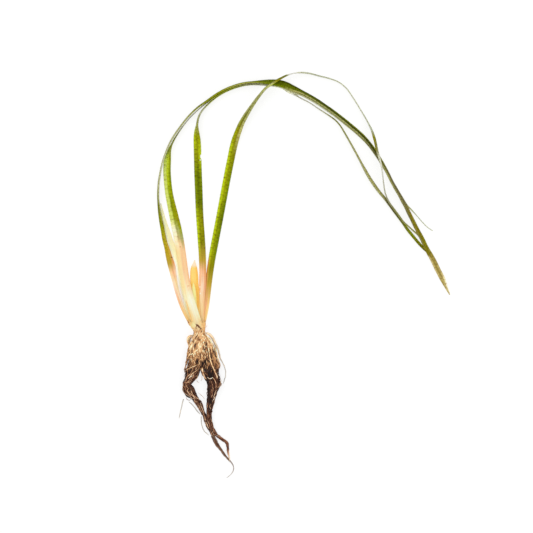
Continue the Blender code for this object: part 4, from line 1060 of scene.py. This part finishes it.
def make_leaves():
    """Every leaf, with its base carried on down into the crown."""
    routes = leaf_routes()
    make_blade(
        "leaf_outer_left",
        [(-2.6, -1.4, 1.4, -20, 3.6, 0), (-3.4, 1.2, 1.1, -10, 4.6, -0.3)] + routes["leaf_outer_left"],
        6.2, 11, OUTER_COLOURS, meet=(0.2, 0.4, 0.6, 0.84),
        spots=[
            (53.5, 0.86, 0.75, BROWN), (29.5, 0.86, 0.6, (124, 70, 36)), (3, 0.2, 0.7, (120, 72, 30)),
            (25, 0.6, 0.4, RUST),
        ],
        lines=[(0.97, 0.12, 0, 16, (246, 200, 136), 0.6), (0.92, 0.08, 46, 66, (216, 150, 60), 0.4)],
        swell=[
            (0, 1), (40, 1.06), (80, 1.1), (94, 1.12), (112, 1.15), (128, 1), (165, 1), (200, 1.06),
            (240, 1), (290, 1.03), (312, 1.08), (345, 1.05), (370, 1),
        ],
    )
    make_blade(
        "leaf_inner_left",
        [(-0.8, -1.6, 3.4, 0, 5.4, 0.6), (-1.2, 1.2, 3.9, 0, 6.4, 0.8)] + routes["leaf_inner_left"],
        6.0, 12, INNER_COLOURS, veins=0.6, green=(56, 78), meet=(0.3, 0.5, 0.6, 0.84),
        spots=[
            (98, 0.95, 0.8, (104, 96, 8)), (30, 0.72, 0.7, (226, 186, 140)),
            (60, 0.5, 0.6, (196, 160, 90)),
        ],
        lines=[
            (0.1, 0.10, 0, 22, (246, 196, 120), 0.8), (0.62, 0.06, 24, 62, (232, 190, 140), 0.6),
            (0.97, 0.08, 30, 66, AMBER, 0.6),
        ],
        swell=[(0, 1), (60, 1), (75, 1.09), (130, 1.1), (144, 0.9), (156, 0.55), (174, 0.55), (186, 1)],
    )
    make_blade(
        "leaf_middle",
        [(-0.2, -1.6, 2.6, 0, 4.6, 0), (-0.2, 1.2, 2.4, 0, 5.4, 0)] + routes["leaf_middle"],
        5.9, 13, MIDDLE_COLOURS,
        spots=[
            (57, 0.95, 0.8, (122, 84, 10)), (100, 0.4, 0.7, (74, 88, 0)), (118, 0.5, 0.8, (80, 96, 0)),
            (25.5, 0.05, 0.8, (246, 182, 96)), (23, 0.3, 0.7, IVORY), (28, 0.16, 0.6, IVORY),
            (32, 0.85, 0.5, AMBER), (123.4, 0.84, 0.6, IVORY),
        ],
        lines=[(0.9, 0.07, 2, 20, (222, 150, 76), 0.4), (0.55, 0.05, 0, 12, (226, 178, 120), 0.5)],
        bites=[(126.0, 1.5, 0.3)],
        swell=[
            (40, 1), (60, 1.08), (130, 1.1), (150, 1.15), (165, 1), (236, 1), (246, 0.6), (258, 0.6),
            (270, 0.75), (284, 0.85), (300, 1.1), (322, 1.45), (342, 1.35), (354, 1.1), (366, 1.1),
            (378, 1.3), (388, 1.25), (396, 1),
        ],
    )
    make_blade(
        "leaf_right",
        [(1.0, -1.6, 1.4, 16, 4.0, 0), (0.9, 1.2, 0.9, 8, 4.8, -0.3)] + routes["leaf_right"],
        5.9, 14, RIGHT_COLOURS, green=(40, 58), meet=(0.2, 0.42, 0.56, 0.74),
        spots=[(12, 0.5, 0.4, AMBER), (20, 0.6, 0.5, ROSE)],
        lines=[(0.05, 0.12, 4, 52, RUST, 0.85), (0.55, 0.06, 2, 30, (226, 170, 112), 0.6)],
        swell=[
            (40, 1), (60, 1.07), (130, 1.08), (150, 1.15), (166, 1.3), (182, 1.6), (198, 1.45), (206, 1),
            (210, 0.6), (217, 1), (236, 0.8), (250, 0.7), (272, 0.7), (284, 0.9), (296, 1.9), (308, 1.3),
            (316, 0.85), (334, 0.85), (350, 1),
        ],
    )
    sheath = [(-2.4, -1.6, 2.8, 0, 4.0, 0.2), (-2.6, 1.2, 2.9, 0, 4.6, 0.1)]
    for x, y, lift, _, width, droop in routes["leaf_sheath"]:
        turn = -34.0 * min(max((y - 48.0) / 14.0, 0.0), 1.0)
        sheath.append((x, y, lift, turn, width / math.cos(math.radians(turn)), droop))
    make_blade(
        "leaf_sheath", sheath, 6.0, 15, SHEATH_COLOURS,
        swell=[(0, 1), (30, 1.2), (60, 1.15), (80, 0.95), (95, 0.9)],
        through=0.5, veins=0.3, green=NEVER,
    )
    make_blade(
        "young_leaf_outer", routes["young_leaf_outer"], 0.0, 16, YOUNG_COLOURS,
        lines=[(0.03, 0.14, 4, 40, APRICOT, 0.9), (0.97, 0.16, 4, 40, APRICOT, 0.9)],
        ruffle=0.1, through=0.35, veins=0.4, green=NEVER,
    )
    make_blade(
        "young_leaf_inner", routes["young_leaf_inner"], 0.0, 17, BUD_COLOURS,
        lines=[(0.03, 0.16, 2, 30, APRICOT, 0.6), (0.97, 0.22, 2, 30, (250, 190, 90), 0.9)],
        ruffle=0.08, through=0.35, veins=0.4, green=NEVER,
    )


# Crown sections. A row is y, x, z, half width and half height.
CROWN = [
    (-5.6, 0.2, 3.9, 4.2, 3.6), (-4.6, 0.1, 3.9, 4.3, 3.8), (-3.6, -0.1, 3.9, 4.2, 3.9),
    (-2.2, -0.3, 3.8, 4.2, 4), (-0.6, -0.6, 3.6, 4.5, 3.9), (1, -1, 3.5, 5, 3.6),
    (2.4, -1.5, 3.4, 5.5, 3.4), (3.8, -1.9, 3.3, 6, 3.2), (5, -2.3, 3.2, 6.3, 3.05),
    (6.2, -2.6, 3.1, 6.5, 2.8),
]
# Dark places on the upper side of the crown: x, y, size and strength.
SCARS = [
    (-2.75, 4.6, 0.9, 0.9), (-2.1, 3.6, 1.15, 1), (-1.2, 2.9, 1.1, 1), (-0.3, 2.2, 0.9, 1),
    (0.5, 1.2, 0.85, 0.95), (-2.7, 2.4, 0.7, 0.8), (-2.8, 1.2, 0.6, 0.7), (1.2, -1.5, 1, 0.75),
    (1.6, -4.2, 1.1, 0.8), (-0.5, -6.3, 1, 0.9), (-3.4, -1.6, 0.7, 0.5), (-1.6, -3.4, 0.6, 0.5),
]


def make_crown():
    """The stem, with a ragged upper end that the leaves stand in."""
    sides = 96
    rng = np.random.default_rng(21)
    phase = rng.uniform(0.0, math.tau, 8)
    angles = np.arange(sides) * math.tau / sides
    rows = smooth_rows(CROWN, 0.22)
    ragged = 0.9 * np.sin(9 * angles + phase[4]) + 0.7 * np.sin(23 * angles + phase[5])
    rings = []
    for y, x, z, wide, high in rows:
        swell = 1.0 + 0.03 * np.sin(6 * angles + phase[0] + 0.5 * y)
        swell += 0.018 * np.sin(17 * angles + phase[1] - 0.8 * y)
        swell += 0.012 * np.sin(31 * angles + phase[2] + 1.7 * y)
        swell += 0.02 * np.sin(2.6 * y + 3 * angles + phase[3])
        ring_x = x + wide * swell * np.cos(angles)
        ring_z = np.maximum(z + high * swell * np.sin(angles), LOWEST)
        ring_y = y + ragged * np.clip((y - 2.5) / 3.7, 0.0, 1.0)
        rings.append(np.stack([ring_x, ring_y, ring_z], axis=1))
    s = Shading("crown_skin")
    x, y, z = (part * 1000.0 for part in s.split(s.place()))
    fibres = s.noise(s.join(x * 2.0, y * 0.3, z * 2.0), 1.0, 4.0, 0.6)
    patches = s.noise(s.join(x, y * 0.8, z), 0.55, 4.0, 0.6)
    value = fibres * 0.5 + patches * 0.5
    # The lower neck mixes tan fibres with dark brown between them: partly the neck's own brown, partly
    # painted shade between the fibres.
    lower = s.ramp(value, [
        (0.36, (120, 70, 32)), (0.44, (176, 118, 68)), (0.52, (226, 174, 120)), (0.64, (246, 208, 158)),
    ])
    upper = s.ramp((x + 9.0) / 14.0, [
        (0.0, AMBER), (0.2, (250, 216, 150)), (0.38, (252, 226, 172)), (0.55, (252, 226, 176)),
        (0.72, (244, 204, 142)), (0.86, (238, 188, 122)), (1.0, AMBER),
    ])
    shade = s.step(value, 0.36, 0.56, 0.80, 1.0)
    upper = s.times(upper, s.join(shade**0.5, shade, shade**1.4))
    colour = s.blend(s.step(y, -3.0, 4.0), lower, upper)
    flat = s.join(x, y)
    above = s.step(z, 2.5, 4.5)
    for place_x, place_y, size, strength in SCARS:
        away = s.distance(flat, (place_x, place_y, 0.0)) + (fibres - 0.5) * 1.2
        share = s.step(away, size * 0.35, size * 1.15, strength, 0.0) * above
        colour = s.blend(share, colour, (100, 54, 24))
    colour = s.times(colour, (1.2, 1.22, 1.2, 1.0))
    skin = s.surface(colour, 0.5, s.bump(value, 0.8, 0.0006), colour, 0.15, ROOT_GLOSS)
    faces = ring_faces(len(rows), sides, 0, True)
    new_piece("crown_stem", np.concatenate(rings), faces, skin, ["crown"])


def make_roots():
    """The cores of the bundles, the fibres over them and the single roots."""
    rng = np.random.default_rng(31)
    bark = [
        (0.0, (26, 17, 13)), (0.16, (42, 26, 19)), (0.32, (66, 42, 30)), (0.46, (102, 68, 46)),
        (0.60, (144, 100, 64)), (0.74, (188, 142, 94)), (0.88, (222, 184, 136)), (1.0, (244, 220, 182)),
    ]
    skin = root_material("root_fibres", bark, [
        (0.0, (30, 17, 13)), (0.16, (44, 25, 18)), (0.32, (72, 41, 27)), (0.46, (104, 63, 42)),
        (0.60, (140, 94, 66)), (0.74, (176, 134, 100)), (0.88, (206, 178, 146)), (1.0, (230, 216, 196)),
    ])
    grey = root_material("root_fibres_grey", bark, [
        (0.0, (30, 17, 13)), (0.32, (66, 40, 27)), (0.5, (106, 72, 50)), (0.66, (118, 98, 84)),
        (1.0, (170, 162, 154)),
    ])
    pale = root_material("root_fibres_pale", [
        (0.0, (112, 106, 98)), (0.3, (148, 142, 134)), (0.5, (176, 170, 160)), (0.75, (206, 182, 150)),
        (1.0, (240, 216, 178)),
    ])
    make_core("root_tuft_core", COLLAR, skin, "root_collar", 0.86)
    make_core("root_left_core", LEFT_STRAND, skin, "root_strand_left", 0.80)
    make_core("root_right_core", RIGHT_STRAND, skin, "root_strand_right", 0.84)
    lower = LOWER_STRAND + [(11.4, -79.6, 2.9, 1.7)]
    make_core("root_lower_core", lower, skin, "root_strand_lower", 0.84)
    for name, count, thickest, foot, side in (
        ("root_left_fibres", 120, 0.44, -64.0, -1.0), ("root_right_fibres", 130, 0.46, -76.0, 1.0),
    ):
        roots = long_roots(rng, count, (-2.0, -80.6), (0.22, thickest), side)
        roots += stray_roots(rng, 46, (-6.0, foot), side)
        tubes(name, roots, 6, skin, [])
    tubes("root_crown_fibres", crown_roots(rng, 58), 7, skin, [])
    tubes("root_marked_fibres", marked_roots(rng), 9, skin, [])
    fork = braid(FORK_LEFT, rng, 7, 0.5, 1.1)
    tubes("root_fork_left_fibres", fork, 7, grey, ["root_fork_left"])
    fork = braid(FORK_RIGHT + [(22.4, -99.2, 0.4)], rng, 6, 0.54, 1.35)
    tubes("root_fork_right_fibres", fork, 7, skin, ["root_fork_right"])
    for node, ending, rows, sides, material, tones in (
        ("root_loop_left", "_fat", LOOP_LEFT, 12, skin, (0.9, 0.8, 0.84)),
        ("root_arch_right", "_fat", ARCH_RIGHT, 12, pale, (0.86, 1.0, 0.45)),
        ("root_hair_left", "_fine", HAIR_LEFT, 6, pale, (0.5, 1.1, 0.55)),
        ("root_hair_between", "_fine", HAIR_BETWEEN, 6, pale, (0.5, 1.05)),
        ("root_hair_lower", "_fine", HAIR_LOWER, 6, pale, (0.5, 1.1, 0.55)),
    ):
        tubes(node + ending, [single(rows, rng, *tones)], sides, material, [node])


FLOOR_GLOW = 0.78
SKY_GLOW = 0.72
LAMPS = (("key", (-0.55, 0.45, 1.1), 4.8), ("fill", (0.7, -0.4, 0.9), 3.4))  # place and power
AIM = (0.05, 0.05, 0.0)


def make_stage():
    """A pale floor that glows a little, soft light from all round and two broad lamps."""
    s = Shading("pale_floor")
    grain = s.noise(s.place(), 40.0, 3.0)
    colour = s.ramp(grain, [(0.0, (0.24, 0.24, 0.24, 1.0)), (1.0, (0.27, 0.27, 0.27, 1.0))])
    material = s.surface(colour, 0.9, s.bump(grain, 0.02, 0.0001), gloss=1.02)
    shader = next(node for node in s.tree.nodes if node.type == "BSDF_PRINCIPLED")
    shader.inputs["Emission Color"].default_value = (1.0, 1.0, 1.0, 1.0)
    shader.inputs["Emission Strength"].default_value = FLOOR_GLOW
    mesh = bpy.data.meshes.new("floor")
    size, level = 8.0, -0.0002
    corners = [(-size, -size, level), (size, -size, level), (size, size, level), (-size, size, level)]
    mesh.from_pydata(corners, [], [(0, 1, 2, 3)])
    mesh.materials.append(material)
    add("floor", mesh)

    world = bpy.data.worlds.new("soft_light")
    world.use_nodes = True
    background = world.node_tree.nodes["Background"]
    background.inputs["Color"].default_value = (1.0, 1.0, 1.0, 1.0)
    background.inputs["Strength"].default_value = SKY_GLOW
    bpy.context.scene.world = world
    for name, place, power in LAMPS:
        light = bpy.data.lights.new(name, "AREA")
        light.size = 1.0
        light.energy = power
        lamp = add(name, light)
        lamp.location = place
        x, y, z = np.array(place) - AIM
        tilt = math.acos(z / np.linalg.norm((x, y, z)))
        lamp.rotation_euler = (tilt, 0.0, math.atan2(y, x) + math.pi / 2.0)


def make_camera():
    """Straight above the middle of the photograph, at the photograph's scale."""
    distance = 4.0
    plane = 0.003  # height that the scale holds for
    data = bpy.data.cameras.new("camera")
    data.sensor_width = 36.0
    data.lens = data.sensor_width * distance / (PIXELS * PIXEL * MM)
    data.clip_end = 50.0
    camera = add("camera", data)
    x = (PIXELS / 2.0 - ORIGIN[0]) * PIXEL * MM
    y = (ORIGIN[1] - PIXELS / 2.0) * PIXEL * MM
    camera.location = (x, y, distance + plane)
    bpy.context.scene.camera = camera
    bpy.context.scene.view_settings.view_transform = "Standard"


make_camera()
make_stage()
make_leaves()
make_crown()
make_roots()
bpy.context.view_layer.update()
